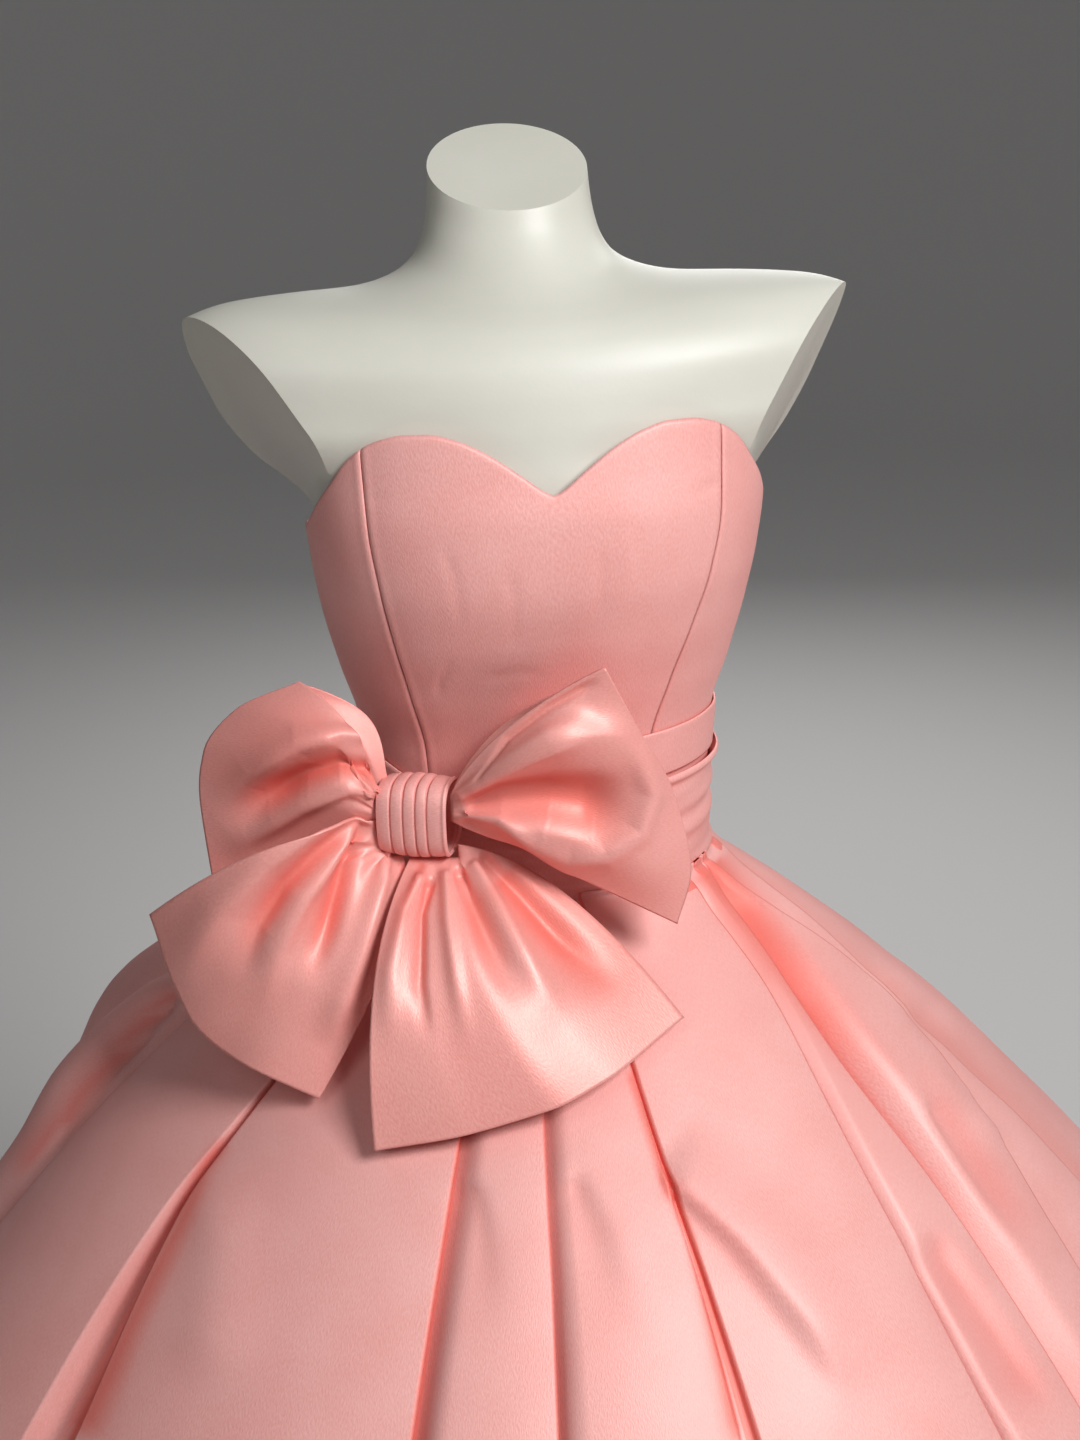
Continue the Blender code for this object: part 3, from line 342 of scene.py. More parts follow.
TAIL_RIGHT_SHADE_STROKES = [
    (0.55, 0.4, 1.5, 1.2, 1.8, 0.05, 0.3, 500, 870, 560, 930, 640, 1010),
    (0.35, 0.2, 0.9, 0.9, 1.2, 0.2, 0.5, 480, 880, 478, 930, 484, 980),
    (0.6, 0.4, 0.25, 0.3, 1.5, 0.02, 0.5, 424, 862, 412, 890, 400, 925, 388, 965),
]
TAIL_LEFT_SHADE_STROKES = [
    (0.35, 0.2, 0.5, 0.6, 1.8, 0.05, 0.5, 345, 838, 280, 895, 250, 940, 232, 985),
    (0.3, 0.2, 0.5, 0.6, 1.8, 0.05, 0.5, 362, 830, 346, 870, 330, 915, 300, 1000),
    (0.6, 0.4, 0.35, 0.3, 1.3, 0.02, 0.5, 404, 862, 402, 900, 388, 945, 364, 990),
]
BOW_PETALS = [
    ("bow_loop_right", LOOP_RIGHT_RAYS[::-1], LOOP_RIGHT_FOLDS, LOOP_RIGHT_SHADE_STROKES),
    ("bow_loop_left", LOOP_LEFT_RAYS, LOOP_LEFT_FOLDS, LOOP_LEFT_SHADE_STROKES),
    ("bow_tail_right", TAIL_RIGHT_RAYS[::-1], TAIL_RIGHT_FOLDS, TAIL_RIGHT_SHADE_STROKES),
    ("bow_tail_left", TAIL_LEFT_RAYS, TAIL_LEFT_FOLDS, TAIL_LEFT_SHADE_STROKES),
]
BODICE_FOLDS = [
    (-0.06, -0.03, 0.45, 0.45, 1, 0.3, 0.4, 440, 540, 455, 580, 462, 640),
    (-0.06, -0.03, 0.45, 0.45, 1, 0.3, 0.4, 505, 560, 515, 600, 512, 660),
    (-0.06, -0.03, 0.45, 0.45, 1, 0.3, 0.4, 600, 540, 602, 580, 595, 630),
    (0.06, 0.03, 0.5, 0.7, 1, 0.3, 0.4, 630, 520, 628, 580, 610, 640),
    (-0.08, -0.02, 0.25, 0.35, 1, 0.1, 0.6, 722, 482, 700, 492, 680, 500),
    (-0.06, -0.02, 0.2, 0.3, 1, 0.3, 0.5, 366, 500, 380, 498, 396, 490),
    (-0.07, -0.03, 0.25, 0.35, 1, 0.3, 0.4, 436, 700, 440, 680, 455, 655),
    (-0.06, -0.03, 0.3, 0.4, 1, 0.3, 0.4, 475, 680, 520, 672, 560, 676),
]


# ---- numbers ----
def smooth(xs, ys, x):
    """A smooth curve through the points (xs, ys) that never overshoots them."""
    xs, ys, x = np.asarray(xs, float), np.asarray(ys, float), np.asarray(x, float)
    steps = np.diff(xs)
    slopes = np.diff(ys) / steps
    tangents = np.concatenate([[slopes[0]], np.zeros(len(xs) - 2), [slopes[-1]]])
    for i in range(1, len(xs) - 1):
        if slopes[i - 1] * slopes[i] > 0:
            w0, w1 = 2 * steps[i] + steps[i - 1], steps[i] + 2 * steps[i - 1]
            tangents[i] = (w0 + w1) / (w0 / slopes[i - 1] + w1 / slopes[i])
    k = np.clip(np.searchsorted(xs, x, side="right") - 1, 0, len(xs) - 2)
    t = np.clip((x - xs[k]) / steps[k], 0.0, 1.0)
    return ((1 + 2 * t) * (1 - t) ** 2 * ys[k] + t * (1 - t) ** 2 * steps[k] * tangents[k]
            + t * t * (3 - 2 * t) * ys[k + 1] + t * t * (t - 1) * steps[k] * tangents[k + 1])


def column(table, index, x):
    """The table's column at x, where the first column holds the places."""
    return smooth([row[0] for row in table], [row[index] for row in table], x)


def rounded(value, power):
    """sin or cos bent into a superellipse's."""
    return np.sign(value) * np.abs(value) ** (2.0 / power)


def smoothstep(low, high, x):
    """0 below low, 1 above high, and smooth between."""
    t = np.clip((x - low) / max(high - low, 1e-9), 0.0, 1.0)
    return t * t * (3 - 2 * t)


def bell(x):
    """1 at 0, falling away smoothly on both sides."""
    return np.exp(-np.square(x))


# ---- camera ----
def camera_axes():
    """The photograph's camera: its place, and its right, up and backward directions."""
    azimuth, elevation, roll = np.radians([CAMERA_AZIMUTH, CAMERA_ELEVATION, CAMERA_ROLL])
    back = np.array([math.sin(azimuth) * math.cos(elevation),
                     -math.cos(azimuth) * math.cos(elevation), math.sin(elevation)])
    right = np.cross(-back, [0.0, 0.0, 1.0])
    right /= np.linalg.norm(right)
    up = np.cross(right, -back)
    turned_right = math.cos(roll) * right + math.sin(roll) * up
    turned_up = math.cos(roll) * up - math.sin(roll) * right
    return np.array(CAMERA_TARGET) + back * CAMERA_DISTANCE, turned_right, turned_up, back


def to_pixels(points):
    """The pixels of the photograph where points, in centimetres, are seen."""
    place, right, up, back = camera_axes()
    ray = points - place
    depth = -(ray @ back)
    return np.stack([PHOTO_WIDTH / 2 + FOCAL_PIXELS * (ray @ right) / depth,
                     PHOTO_HEIGHT / 2 - FOCAL_PIXELS * (ray @ up) / depth], axis=-1)


def make_camera():
    """The photograph's view."""
    place, right, up, back = camera_axes()
    data = bpy.data.cameras.new("camera")
    data.sensor_width = 36.0
    data.lens = FOCAL_PIXELS / PHOTO_HEIGHT * data.sensor_width
    data.clip_start = 0.01
    made = bpy.data.objects.new("camera", data)
    place = place * CM
    made.matrix_world = Matrix([[right[k], up[k], back[k], place[k]] for k in range(3)]
                               + [[0.0, 0.0, 0.0, 1.0]])
    bpy.context.collection.objects.link(made)
    bpy.context.scene.camera = made


# ---- folds ----
def fold_heights(points, folds):
    """How far each point is moved out by the folds that run past its pixel."""
    pixels = to_pixels(points)
    total = np.zeros(points.shape[:-1])
    for start, end, left, right, grow, fade_in, fade_out, *line in folds:
        line = np.array(line, float).reshape(-1, 2)
        lengths = np.concatenate([[0.0], np.cumsum(np.linalg.norm(np.diff(line, axis=0), axis=1))])
        best = np.full(points.shape[:-1], 1e9)
        side, along = np.zeros_like(best), np.zeros_like(best)
        for k in range(len(line) - 1):
            step = line[k + 1] - line[k]
            size = np.linalg.norm(step)
            away = pixels - line[k]
            t = np.clip((away @ step) / size ** 2, 0.0, 1.0)
            distance = np.linalg.norm(away - t[..., None] * step, axis=-1)
            near = distance < best
            best = np.where(near, distance, best)
            cross = step[0] * away[..., 1] - step[1] * away[..., 0]
            side = np.where(near, cross, side)
            along = np.where(near, (lengths[k] + t * size) / lengths[-1], along)
        reach = best * CM_PER_PIXEL
        width = np.where(side < 0, left, right) * (1 + (grow - 1) * along)
        fade = smoothstep(0.0, fade_in, along) * (1 - smoothstep(1 - fade_out, 1.0, along))
        total += (start + (end - start) * along) * fade * bell(reach / width)
    return total


def facing_camera(points, outward, low, high):
    """0 where cloth turns away from the photograph's camera, 1 where it faces it."""
    to_camera = camera_axes()[0] - points
    to_camera /= np.linalg.norm(to_camera, axis=-1, keepdims=True)
    return smoothstep(low, high, np.sum(outward * to_camera, axis=-1))


def grid_normals(grid):
    """Unit normals of a grid of points, rows by columns."""
    normals = np.cross(np.gradient(grid, axis=1), np.gradient(grid, axis=0))
    return normals / np.maximum(np.linalg.norm(normals, axis=2, keepdims=True), 1e-9)


def folded(grid, folds, shade_paint=()):
    """The grid with its folds, on the side that the photograph shows, and the painted shade in them.
    """
    normals = grid_normals(grid)
    facing = facing_camera(grid, normals, *FOLDS_FACE)
    heights = fold_heights(grid, folds) * facing
    # painted shade: the folds' troughs and the shade strokes deepen the colour to red
    painted_shade = np.clip(-heights / FULL_SHADE_TROUGH, 0.0, 1.0) + fold_heights(grid, shade_paint) * facing
    return grid + normals * heights[..., None], np.clip(painted_shade, 0.0, 1.0)


# ---- meshes ----
def lengths_along(grid, axis):
    """The way run along an axis of the grid, from its first row or column."""
    steps = np.linalg.norm(np.diff(grid, axis=axis), axis=2)
    zero = np.zeros_like(np.take(steps, [0], axis=axis))
    return np.concatenate([zero, np.cumsum(steps, axis=axis)], axis=axis)


def faces_of(rows, cols, closed):
    """The four corners' rows and columns of each face of a grid, and the faces themselves."""
    corners = np.array([(0, 0, 1, 1), (0, 1, 1, 0)])
    r, c = np.mgrid[:rows - 1, :cols - (not closed)].reshape(2, -1, 1) + corners[:, None]
    return r, c, (r * cols + c % cols).tolist()


def new_object(name, points, faces, finish):
    """A smooth-shaded object in one material, through points in metres."""
    mesh = bpy.data.meshes.new(name)
    mesh.from_pydata([tuple(p) for p in points], [], faces)
    mesh.materials.append(finish)
    mesh.shade_smooth()
    made = bpy.data.objects.new(name, mesh)
    bpy.context.collection.objects.link(made)
    return made


LEAST_FILL = 0.31  # a sheet's area is at least this share of its flat size


def cloth(name, grid, wall, finish, held, closed=False, painted_shade=None):
    """The cloth of the node of that name: a shell with a wall, whose outer face is the grid.

    painted_shade says how much painted shade each point gets, from 0 to 1: a deeper red where it
    lies deep in a fold."""
    rows, cols = grid.shape[:2]
    whole = np.concatenate([grid, grid[:, :1]], axis=1) if closed else grid
    r, c, faces = faces_of(rows, cols, closed)
    made = new_object(name, grid.reshape(-1, 3) * CM, faces, finish)
    around, down = lengths_along(whole, 1), lengths_along(whole, 0)
    places = np.stack([around[rows // 2, c], down[r, c]], axis=-1)
    layer = made.data.uv_layers.new(name="cloth")
    layer.data.foreach_set("uv", (places * CM).astype(np.float32).ravel())
    # painted shade: a point attribute that the satin turns into a deeper red down in the folds
    depth = made.data.attributes.new("painted_shade", "FLOAT", "POINT")
    depth.data.foreach_set("value", np.zeros(rows * cols) if painted_shade is None else painted_shade.ravel())
    solid = made.modifiers.new("wall", "SOLIDIFY")
    solid.thickness, solid.offset = wall * CM, -1.0
    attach(made, "root")
    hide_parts(name)
    width, length = float(around[:, -1].max()) * CM, float(down[-1].max()) * CM
    quads = np.cross(whole[1:, 1:] - whole[:-1, :-1], whole[1:, :-1] - whole[:-1, 1:])
    area = float(np.linalg.norm(quads, axis=2).sum() / 2) * CM * CM
    area = min(max(area, LEAST_FILL * width * length), width * length)


def plain(name, grid, finish):
    """A rigid solid through closed rings, with flat ends."""
    rows, cols = grid.shape[:2]
    faces = [list(range(cols))[::-1], list(range((rows - 1) * cols, rows * cols))]
    faces += faces_of(rows, cols, True)[2]
    made = new_object(name, grid.reshape(-1, 3) * CM, faces, finish)
    whole = bmesh.new()
    whole.from_mesh(made.data)
    bmesh.ops.recalc_face_normals(whole, faces=whole.faces)
    whole.to_mesh(made.data)
    whole.free()
    return made


# ---- materials ----
# light, dark, roughness, gloss
SATINS = {
    "dress_satin": ((0.95, 0.53, 0.50, 1.0), (0.89, 0.42, 0.39, 1.0), 0.50, 0.6),
    "skirt_satin": ((0.95, 0.54, 0.51, 1.0), (0.89, 0.43, 0.40, 1.0), 0.50, 0.6),
    "bow_satin": ((0.95, 0.48, 0.44, 1.0), (0.90, 0.38, 0.34, 1.0), 0.44, 0.9),
}
PAINTED_SHADE_RED, PAINTED_SHADE_SHARE = (0.86, 0.16, 0.12, 1.0), 0.75  # painted shade: the colour down in the folds, where light comes only from other folds
WEAVE_SLANT, WEAVE_SCALE = 0.6, (1050.0, 380.0, 1.0)
WEAVE_SHARE, CLOUD_SHARE = 0.55, 0.45  # of the colour's unevenness
CLOUD_SCALE = 22.0
SHEEN_TINT, GLOSS_TINT = (1.0, 0.45, 0.4, 1.0), (1.0, 0.66, 0.62, 1.0)
HEM_STITCH_HEIGHT, HEM_STITCH_WIDTH = 0.022, 0.0007  # in metres
HEM_STITCHES, STITCH_START = 900.0, -0.2  # a sine's turning and level
STITCH_RELIEF = 2.0
SHELL_LOW, SHELL_HIGH = (0.64, 0.63, 0.56, 1.0), (0.69, 0.68, 0.61, 1.0)
STEEL_LOW, STEEL_HIGH = (0.52, 0.52, 0.51, 1.0), (0.66, 0.66, 0.64, 1.0)
BRUSH_LINES = 900.0
NOISE_LOW, NOISE_HIGH = 0.3, 0.7  # between them a noise changes


class Nodes:
    """A material's node tree, with short ways to add and join nodes."""

    def __init__(self, name):
        self.material = bpy.data.materials.new(name)
        self.material.use_nodes = True
        self.tree = self.material.node_tree
        self.shader = self.tree.nodes["Principled BSDF"]

    def fill(self, node, inputs):
        """Sets a node's inputs to values, or joins them to other nodes' outputs."""
        for key, value in inputs.items():
            if isinstance(value, bpy.types.NodeSocket):
                self.tree.links.new(value, node.inputs[key])
            else:
                node.inputs[key].default_value = value

    def add(self, kind, inputs=None, **settings):
        node = self.tree.nodes.new("ShaderNode" + kind)
        for key, value in settings.items():
            setattr(node, key, value)
        self.fill(node, inputs or {})
        return node

    def math(self, operation, *values):
        return self.add("Math", dict(enumerate(values)), operation=operation).outputs[0]

    def noise(self, place, scale, detail, **settings):
        inputs = {"Vector": place, "Scale": scale, "Detail": detail}
        return self.add("TexNoise", inputs, **settings).outputs["Fac"]

    def object_place(self):
        return self.add("TexCoord").outputs["Object"]

    def between(self, value, low, high):
        inputs = {"Value": value, "To Min": low, "To Max": high}
        return self.add("MapRange", inputs).outputs[0]

    def ramp(self, value, low_colour, high_colour):
        node = self.add("ValToRGB", {"Fac": value})
        low, high = node.color_ramp.elements
        low.position, high.position = NOISE_LOW, NOISE_HIGH
        low.color, high.color = low_colour, high_colour
        return node.outputs["Color"]

    def bump(self, height, strength, distance):
        inputs = {"Height": height, "Strength": strength, "Distance": distance}
        return self.add("Bump", inputs).outputs[0]


def satin(name):
    """Heavy satin: a fine slanted weave, soft sheen, faint unevenness of dye, and painted shade, a
    deeper red down in the folds; the skirt's has the row of blind stitches over its hem."""
    light, dark, roughness, gloss = SATINS[name]
    n = Nodes(name)
    place = n.add("UVMap", uv_map="cloth").outputs["UV"]
    slanted = n.add("Mapping", {"Vector": place, "Rotation": (0.0, 0.0, WEAVE_SLANT),
                                "Scale": WEAVE_SCALE}).outputs[0]
    weave = n.noise(slanted, 1.0, 1.0, noise_dimensions="2D")
    cloud = n.noise(n.object_place(), CLOUD_SCALE, 3.0)
    shade = n.math("ADD", n.math("MULTIPLY", weave, WEAVE_SHARE),
                   n.math("MULTIPLY", cloud, CLOUD_SHARE))
    # painted shade: a deeper red laid over the cloth's colour down in the folds
    painted_shade = n.add("Attribute", attribute_name="painted_shade").outputs["Fac"]
    mixed = {0: n.math("MULTIPLY", painted_shade, PAINTED_SHADE_SHARE), 6: n.ramp(shade, dark, light), 7: PAINTED_SHADE_RED}
    relief = weave
    if name == "skirt_satin":
        along, up, _ = n.add("SeparateXYZ", {"Vector": place}).outputs
        in_row = n.math("COMPARE", up, HEM_STITCH_HEIGHT, HEM_STITCH_WIDTH)
        wave = n.math("SINE", n.math("MULTIPLY", along, HEM_STITCHES))
        stitch = n.math("MULTIPLY", in_row, n.math("GREATER_THAN", wave, STITCH_START))
        relief = n.math("SUBTRACT", weave, n.math("MULTIPLY", stitch, STITCH_RELIEF))
    n.fill(n.shader, {
        "Base Color": n.add("Mix", mixed, data_type="RGBA").outputs[2],
        "Roughness": n.between(weave, roughness - 0.05, roughness + 0.06),
        "Normal": n.bump(relief, 0.3, 0.0004), "Metallic": 0.1,
        "Sheen Weight": 0.03, "Sheen Roughness": 0.35, "Sheen Tint": SHEEN_TINT,
        "Specular IOR Level": gloss, "Specular Tint": GLOSS_TINT})
    return n.material


def shell_white():
    """The display form's off-white shell: semi-matt, with a faint orange-peel."""
    n = Nodes("form_white")
    place = n.object_place()
    n.fill(n.shader, {
        "Base Color": n.ramp(n.noise(place, 9.0, 3.0), SHELL_LOW, SHELL_HIGH), "Roughness": 0.42,
        "Normal": n.bump(n.noise(place, 420.0, 2.0), 0.08, 0.0005)})
    return n.material


def brushed_steel():
    """The stand: turned steel with fine rings of brushing."""
    n = Nodes("stand_steel")
    x, y, z = n.add("SeparateXYZ", {"Vector": n.object_place()}).outputs
    radius = n.math("SQRT", n.math("ADD", n.math("MULTIPLY", x, x), n.math("MULTIPLY", y, y)))
    rings = n.add("CombineXYZ", {"X": n.math("MULTIPLY", radius, BRUSH_LINES),
                                 "Y": n.math("MULTIPLY", z, BRUSH_LINES)}).outputs[0]
    brush = n.noise(rings, 1.0, 2.0)
    n.fill(n.shader, {
        "Base Color": n.ramp(brush, STEEL_LOW, STEEL_HIGH), "Metallic": 1.0,
        "Roughness": n.between(brush, 0.26, 0.4), "Normal": n.bump(brush, 0.15, 0.0003)})
    return n.material


# ---- body ----
def body_point(angle, z, out=0.0):
    """A point of the dressed body's section at height z, moved out by a distance."""
    s, c = np.sin(np.radians(angle)), np.cos(np.radians(angle))
    centre, half_width, front, back, power = (column(BODY_SECTIONS, k, z) for k in range(1, 6))
    depth = np.where(c > 0, front, back) + out
    return np.stack([centre + (half_width + out) * rounded(s, power),
                     -depth * rounded(c, power), z + 0.0 * s], axis=-1)


def torso_rings(cols, neck_steps):
    """Rings of the form from its flat bottom to its neck's cut."""
    angles = np.arange(cols) * 360.0 / cols
    rings = []
    for z in np.arange(TORSO_BOTTOM_Z, CHEST_TOP_Z, 1.0):
        inside = BODICE_WALL + FORM_CLEARANCE + BUST_CLEARANCE * bell((z - CUP_Z) / CUP_REACH)
        rings.append(body_point(angles, np.full(cols, z), -inside))
    s, c = np.sin(np.radians(angles)), np.cos(np.radians(angles))
    table = [(float(k), *row) for k, row in enumerate(NECK_RINGS)]
    for t in np.linspace(0, len(NECK_RINGS) - 1, neck_steps * (len(NECK_RINGS) - 1) + 1):
        centre, side_x, side_y, side_z, front_y, front_z, back_y, back_z, power = (
            column(table, k, t) for k in range(1, 10))
        reach = rounded(c, power)
        depth = np.where(c > 0, side_y - front_y, back_y - side_y)
        tilt, saddle = (back_z - front_z) / 2, (back_z + front_z) / 2 - side_z
        rings.append(np.stack([centre + side_x * rounded(s, power), side_y - depth * reach,
                               side_z - tilt * reach + saddle * reach ** 2], axis=-1))
    return np.array(rings)


def arm_wedge(side, finish):
    """What is cut off at one arm."""
    point = np.array([ARM_CUT_OFFSET + side * ARM_CUT_POINT[0], *ARM_CUT_POINT[1:]])
    outward = np.array([side * ARM_CUT_NORMAL[0], ARM_CUT_NORMAL[1], 0.0])
    flat = np.linalg.norm(outward)
    outward = outward / flat
    along = np.array([-outward[1], outward[0], 0.0])
    high = ARM_CUT_POINT[2] + ARM_CUT_REACH / 2
    rings = []
    for end in (-1.0, 1.0):
        ring = []
        for z, edge in ((ARM_CUT_LOW_Z, 1), (ARM_CUT_LOW_Z, 0), (high, 0), (high, 1)):
            lean = -ARM_CUT_NORMAL[2] / flat * (z - ARM_CUT_POINT[2])
            out = lean if edge else ARM_CUT_REACH
            ring.append(point + outward * out + along * end * ARM_CUT_REACH
                        + np.array([0.0, 0.0, z - ARM_CUT_POINT[2]]))
        rings.append(ring)
    return plain("arm_wedge", np.array(rings), finish)


TORSO_COLUMNS, NECK_STEPS = 160, 8
SHARP_ANGLE = 35  # the cuts' edges stay sharp


def make_form(finish, steel):
    """The torso, cut flat at the arms, on its stand."""
    torso = plain("torso", torso_rings(TORSO_COLUMNS, NECK_STEPS), finish)
    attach(torso, "root")
    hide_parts("form_torso")
    for side in (1, -1):
        wedge = arm_wedge(side, finish)
        cut = torso.modifiers.new("cut", "BOOLEAN")
        cut.operation, cut.solver, cut.object = "DIFFERENCE", "EXACT", wedge
        bpy.context.view_layer.update()
        done = torso.evaluated_get(bpy.context.evaluated_depsgraph_get())
        fresh = bpy.data.meshes.new_from_object(done)
        old, torso.data = torso.data, fresh
        torso.modifiers.clear()
        bpy.data.meshes.remove(old)
        bpy.data.meshes.remove(wedge.data)
    torso.data.set_sharp_from_angle(angle=math.radians(SHARP_ANGLE))
    for name in ("form_base", "form_collar", "form_pole"):
        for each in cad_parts[name].material_slots:
            each.material = steel


# ---- bodice ----
def panel_angles(left, right, cols, through):
    """Angles across a panel; a column runs along the angle through, if one is given."""
    if through is None:
        return np.linspace(left, right, cols)
    half = (cols + 1) // 2
    return np.concatenate([np.linspace(left, through, half)[:-1],
                           np.linspace(through, right, cols + 1 - half)])


def seam_angle(seam, z):
    """The angle at height z of a princess seam, by its name, or of a straight one."""
    if isinstance(seam, str):
        return column(BODICE_SEAMS, 1 if seam == "princess_left" else 2, z)
    return seam + 0.0 * np.asarray(z)


def make_bodice(finish):
    """Front, sides and backs, between the princess, side and centre back seams."""
    for name, (left, right, cols, through) in BODICE_PANELS.items():
        def across(z):
            return panel_angles(seam_angle(left, z), seam_angle(right, z), cols, through)

        grid = np.zeros((BODICE_ROWS, cols, 3))
        for c, angle in enumerate(across(BODICE_SEAMS[-1][0])):
            top = column(BODICE_TOP, 1, abs(angle))
            heights = np.linspace(WAIST_Z + PIECE_GAP / 2, top, BODICE_ROWS)
            inward = {0: 1, cols - 1: -1}.get(c, 0) * PIECE_GAP / 2
            grid[:, c] = body_point(across(heights)[c] + np.degrees(inward / MEAN_RADIUS), heights)
        from_seam = np.minimum(lengths_along(grid, 1), lengths_along(grid[:, ::-1], 1)[:, ::-1])
        from_top = lengths_along(grid[::-1], 0)[::-1]
        relief = -SEAM_GROOVE * bell(from_seam / SEAM_GROOVE_WIDTH)
        relief += SEAM_RIDGE * bell((from_seam - SEAM_RIDGE_PLACE) / SEAM_RIDGE_WIDTH)
        relief += -TOP_ROLL * bell(from_top / TOP_ROLL_WIDTH)
        grid, painted_shade = folded(grid + grid_normals(grid) * relief[..., None], BODICE_FOLDS)
        cloth(name, grid, BODICE_WALL, finish, "stretched", painted_shade=painted_shade)


# ---- sash ----
def make_sash(finish):
    """The wrapped sash with its rolled upper fold, and the flat band above it."""
    angles = np.linspace(-180.0, 180.0, SASH_COLUMNS + 1)[:-1]
    wrap_top, band_top = (column(SASH_HEIGHTS, k, angles) for k in (1, 2))
    base = SASH_LIFT + SASH_WALL
    low = WAIST_Z + SASH_GAP
    wrap, band = [], []
    for t in np.linspace(0.0, 1.0, WRAP_ROWS):
        z = low + (wrap_top - low) * t
        below = wrap_top - z
        # the wrap's soft cross waves fade at its two edges
        roll = SASH_FOLD_BULGE * bell((below - SASH_FOLD_DROP) / SASH_FOLD_REACH)
        wave = 0.10 * np.sin(z * 2.6 + 2.2 * np.sin(np.radians(angles * 1.5)) + 0.5)
        wave += 0.06 * np.sin(z * 4.1 - angles * 0.05)
        wave *= smoothstep(0.0, 0.8, below) * smoothstep(0.0, 0.6, z - low)
        wrap.append(body_point(angles, z, base + roll + wave))
    for t in np.linspace(0.0, 1.0, BAND_ROWS):
        z = wrap_top + SASH_GAP + (band_top - wrap_top - SASH_GAP) * t
        edge = -BAND_EDGE * bell((1 - t) * (band_top - wrap_top) / BAND_EDGE_WIDTH)
        band.append(body_point(angles, z, base + edge + BAND_CROWN * np.sin(t * 3.1)))
    for name, rings in (("sash_wrap", wrap), ("sash_band", band)):
        cloth(name, np.array(rings), SASH_WALL, finish, "stretched", closed=True)


# ---- skirt ----
def waist_squeeze(drop):
    """How much of their full height the pleats' layers have at a drop below the waist seam."""
    return 1.0 - WAIST_SQUEEZE * math.exp(-drop / SQUEEZE_REACH)


def skirt_radius(angle, drop):
    """The skirt's plain radius at an angle and a drop below the waist seam."""
    waist = body_point(angle, WAIST_Z, SASH_LIFT)
    round_waist = np.hypot(waist[..., 0], waist[..., 1])
    side = body_point(90.0, WAIST_Z, SASH_LIFT)[0]
    stack = STACK_HEIGHT * np.exp(-drop / STACK_REACH) * waist_squeeze(drop)
    return column(SKIRT_SPREAD, 1, drop) + stack + (round_waist - side) * np.exp(-drop / WAIST_REACH)


def skirt_slant(drop):
    """How much longer a step out from the axis is than the same step off the cloth."""
    low, high = max(drop - 0.5, 0.0), min(drop + 0.5, SKIRT_LENGTH)
    rise = column(SKIRT_SPREAD, 1, high) - column(SKIRT_SPREAD, 1, low)
    return math.hypot(1.0, rise / (high - low))


class Pleat:
    """One pleat at one drop: its sizes, in degrees round the body and cm outward."""

    def __init__(self, drop, radius, kind, edges, sinks, lifts, ramp=0, puff=0, gaps=(0, 0)):
        low = float(smoothstep(WAIST_ZONE, HEM_ZONE, drop))
        sink, lift = (near + (far - near) * low for near, far in (sinks, lifts))
        grow = 1.0 - math.exp(-drop / PLEAT_REACH)
        degree = math.degrees(1.0 / radius)
        gap = smooth(FOLD_DROPS, (0.0, *gaps, gaps[1] * HEM_GAP), drop)
        self.kind, self.ramp = kind, ramp
        self.edge = float(smooth(PLEAT_DROPS, np.broadcast_to(edges, len(PLEAT_DROPS)), drop))
        self.other = self.edge + max(gap, LEAST_GAP * degree)
        self.lift = lift * grow
        self.fold = smooth(FOLD_DROPS, FOLD_HEIGHT, drop) * skirt_slant(drop)
        self.tuck = smooth(FOLD_DROPS, TUCK_HEIGHT, drop) * skirt_slant(drop)
        self.sink = sink * (0.25 + 0.75 * grow)
        self.turn = FOLD_TURN * degree
        self.lap = smooth(FOLD_DROPS, UNDERLAP, drop) * degree
        self.puff = puff * bell((drop - PUFF_DROP) / PUFF_REACH)

    def low(self):
        return self.lift - self.fold - self.tuck - self.sink

    def panel_end(self):
        if self.kind == "under":
            return self.edge + UNDERCUT * self.turn, self.low()
        return self.edge - self.turn, self.lift

    def panel_start(self):
        if self.kind == "over":
            return self.edge - UNDERCUT * self.turn, self.low()
        return (self.other if self.kind == "open" else self.edge) + self.turn, self.lift

    def points(self, left_panel, right_panel):
        """The folded section, as (degrees, height) points from left to right."""
        middle = self.lift - self.fold / 2
        if self.kind == "open":
            floor, width = self.lift - self.sink - self.fold, self.other - self.edge
            return [self.panel_end(), (self.edge, middle),
                    *((self.edge + share * width, floor) for share in SLOT_FLOOR),
                    (self.other, middle), self.panel_start()]
        side, cover = (1, left_panel) if self.kind == "over" else (-1, right_panel)

        def under(inward, depth):
            angle = self.edge - side * inward
            return angle, cover(angle) - depth

        section = [(self.edge - side * self.turn, self.lift), (self.edge, middle),
                   under(self.turn, self.fold), under(self.lap / 2, self.fold),
                   under(self.lap, self.fold),
                   under(self.lap + self.turn, self.fold + self.tuck / 2),
                   under(self.lap, self.fold + self.tuck),
                   (self.edge - side * UNDERCUT * self.turn, self.low())]
        return section[::side]


def panel_profile(left, right, drop, radius):
    """The panel between two pleats: where it starts, how wide it is, both in degrees, and a
    function from degrees to its outward height."""
    (start, start_height), (end, end_height) = left.panel_start(), right.panel_end()
    width = (end - start) % 360.0
    length = radius * math.radians(width)
    swell = 4 * left.puff + 2 * PANEL_CROWN * length * (1 - math.exp(-drop / CROWN_REACH))
    ramp = max(left.ramp * (left.kind == "over"), right.ramp * (right.kind == "under"))
    share = min(ramp / length, 1.0) if ramp else 1.0
    first, last = (1.0 - share, 1.0) if right.kind == "under" else (0.0, share)

    def height(angle):
        t = ((angle - start + 180.0) % 360.0 - 180.0) / width
        t = min(max(t, 0.0), 1.0)
        rise = (end_height - start_height) * smoothstep(first, last, t)
        return start_height + rise + swell * t * (1 - t)
    return start, width, height


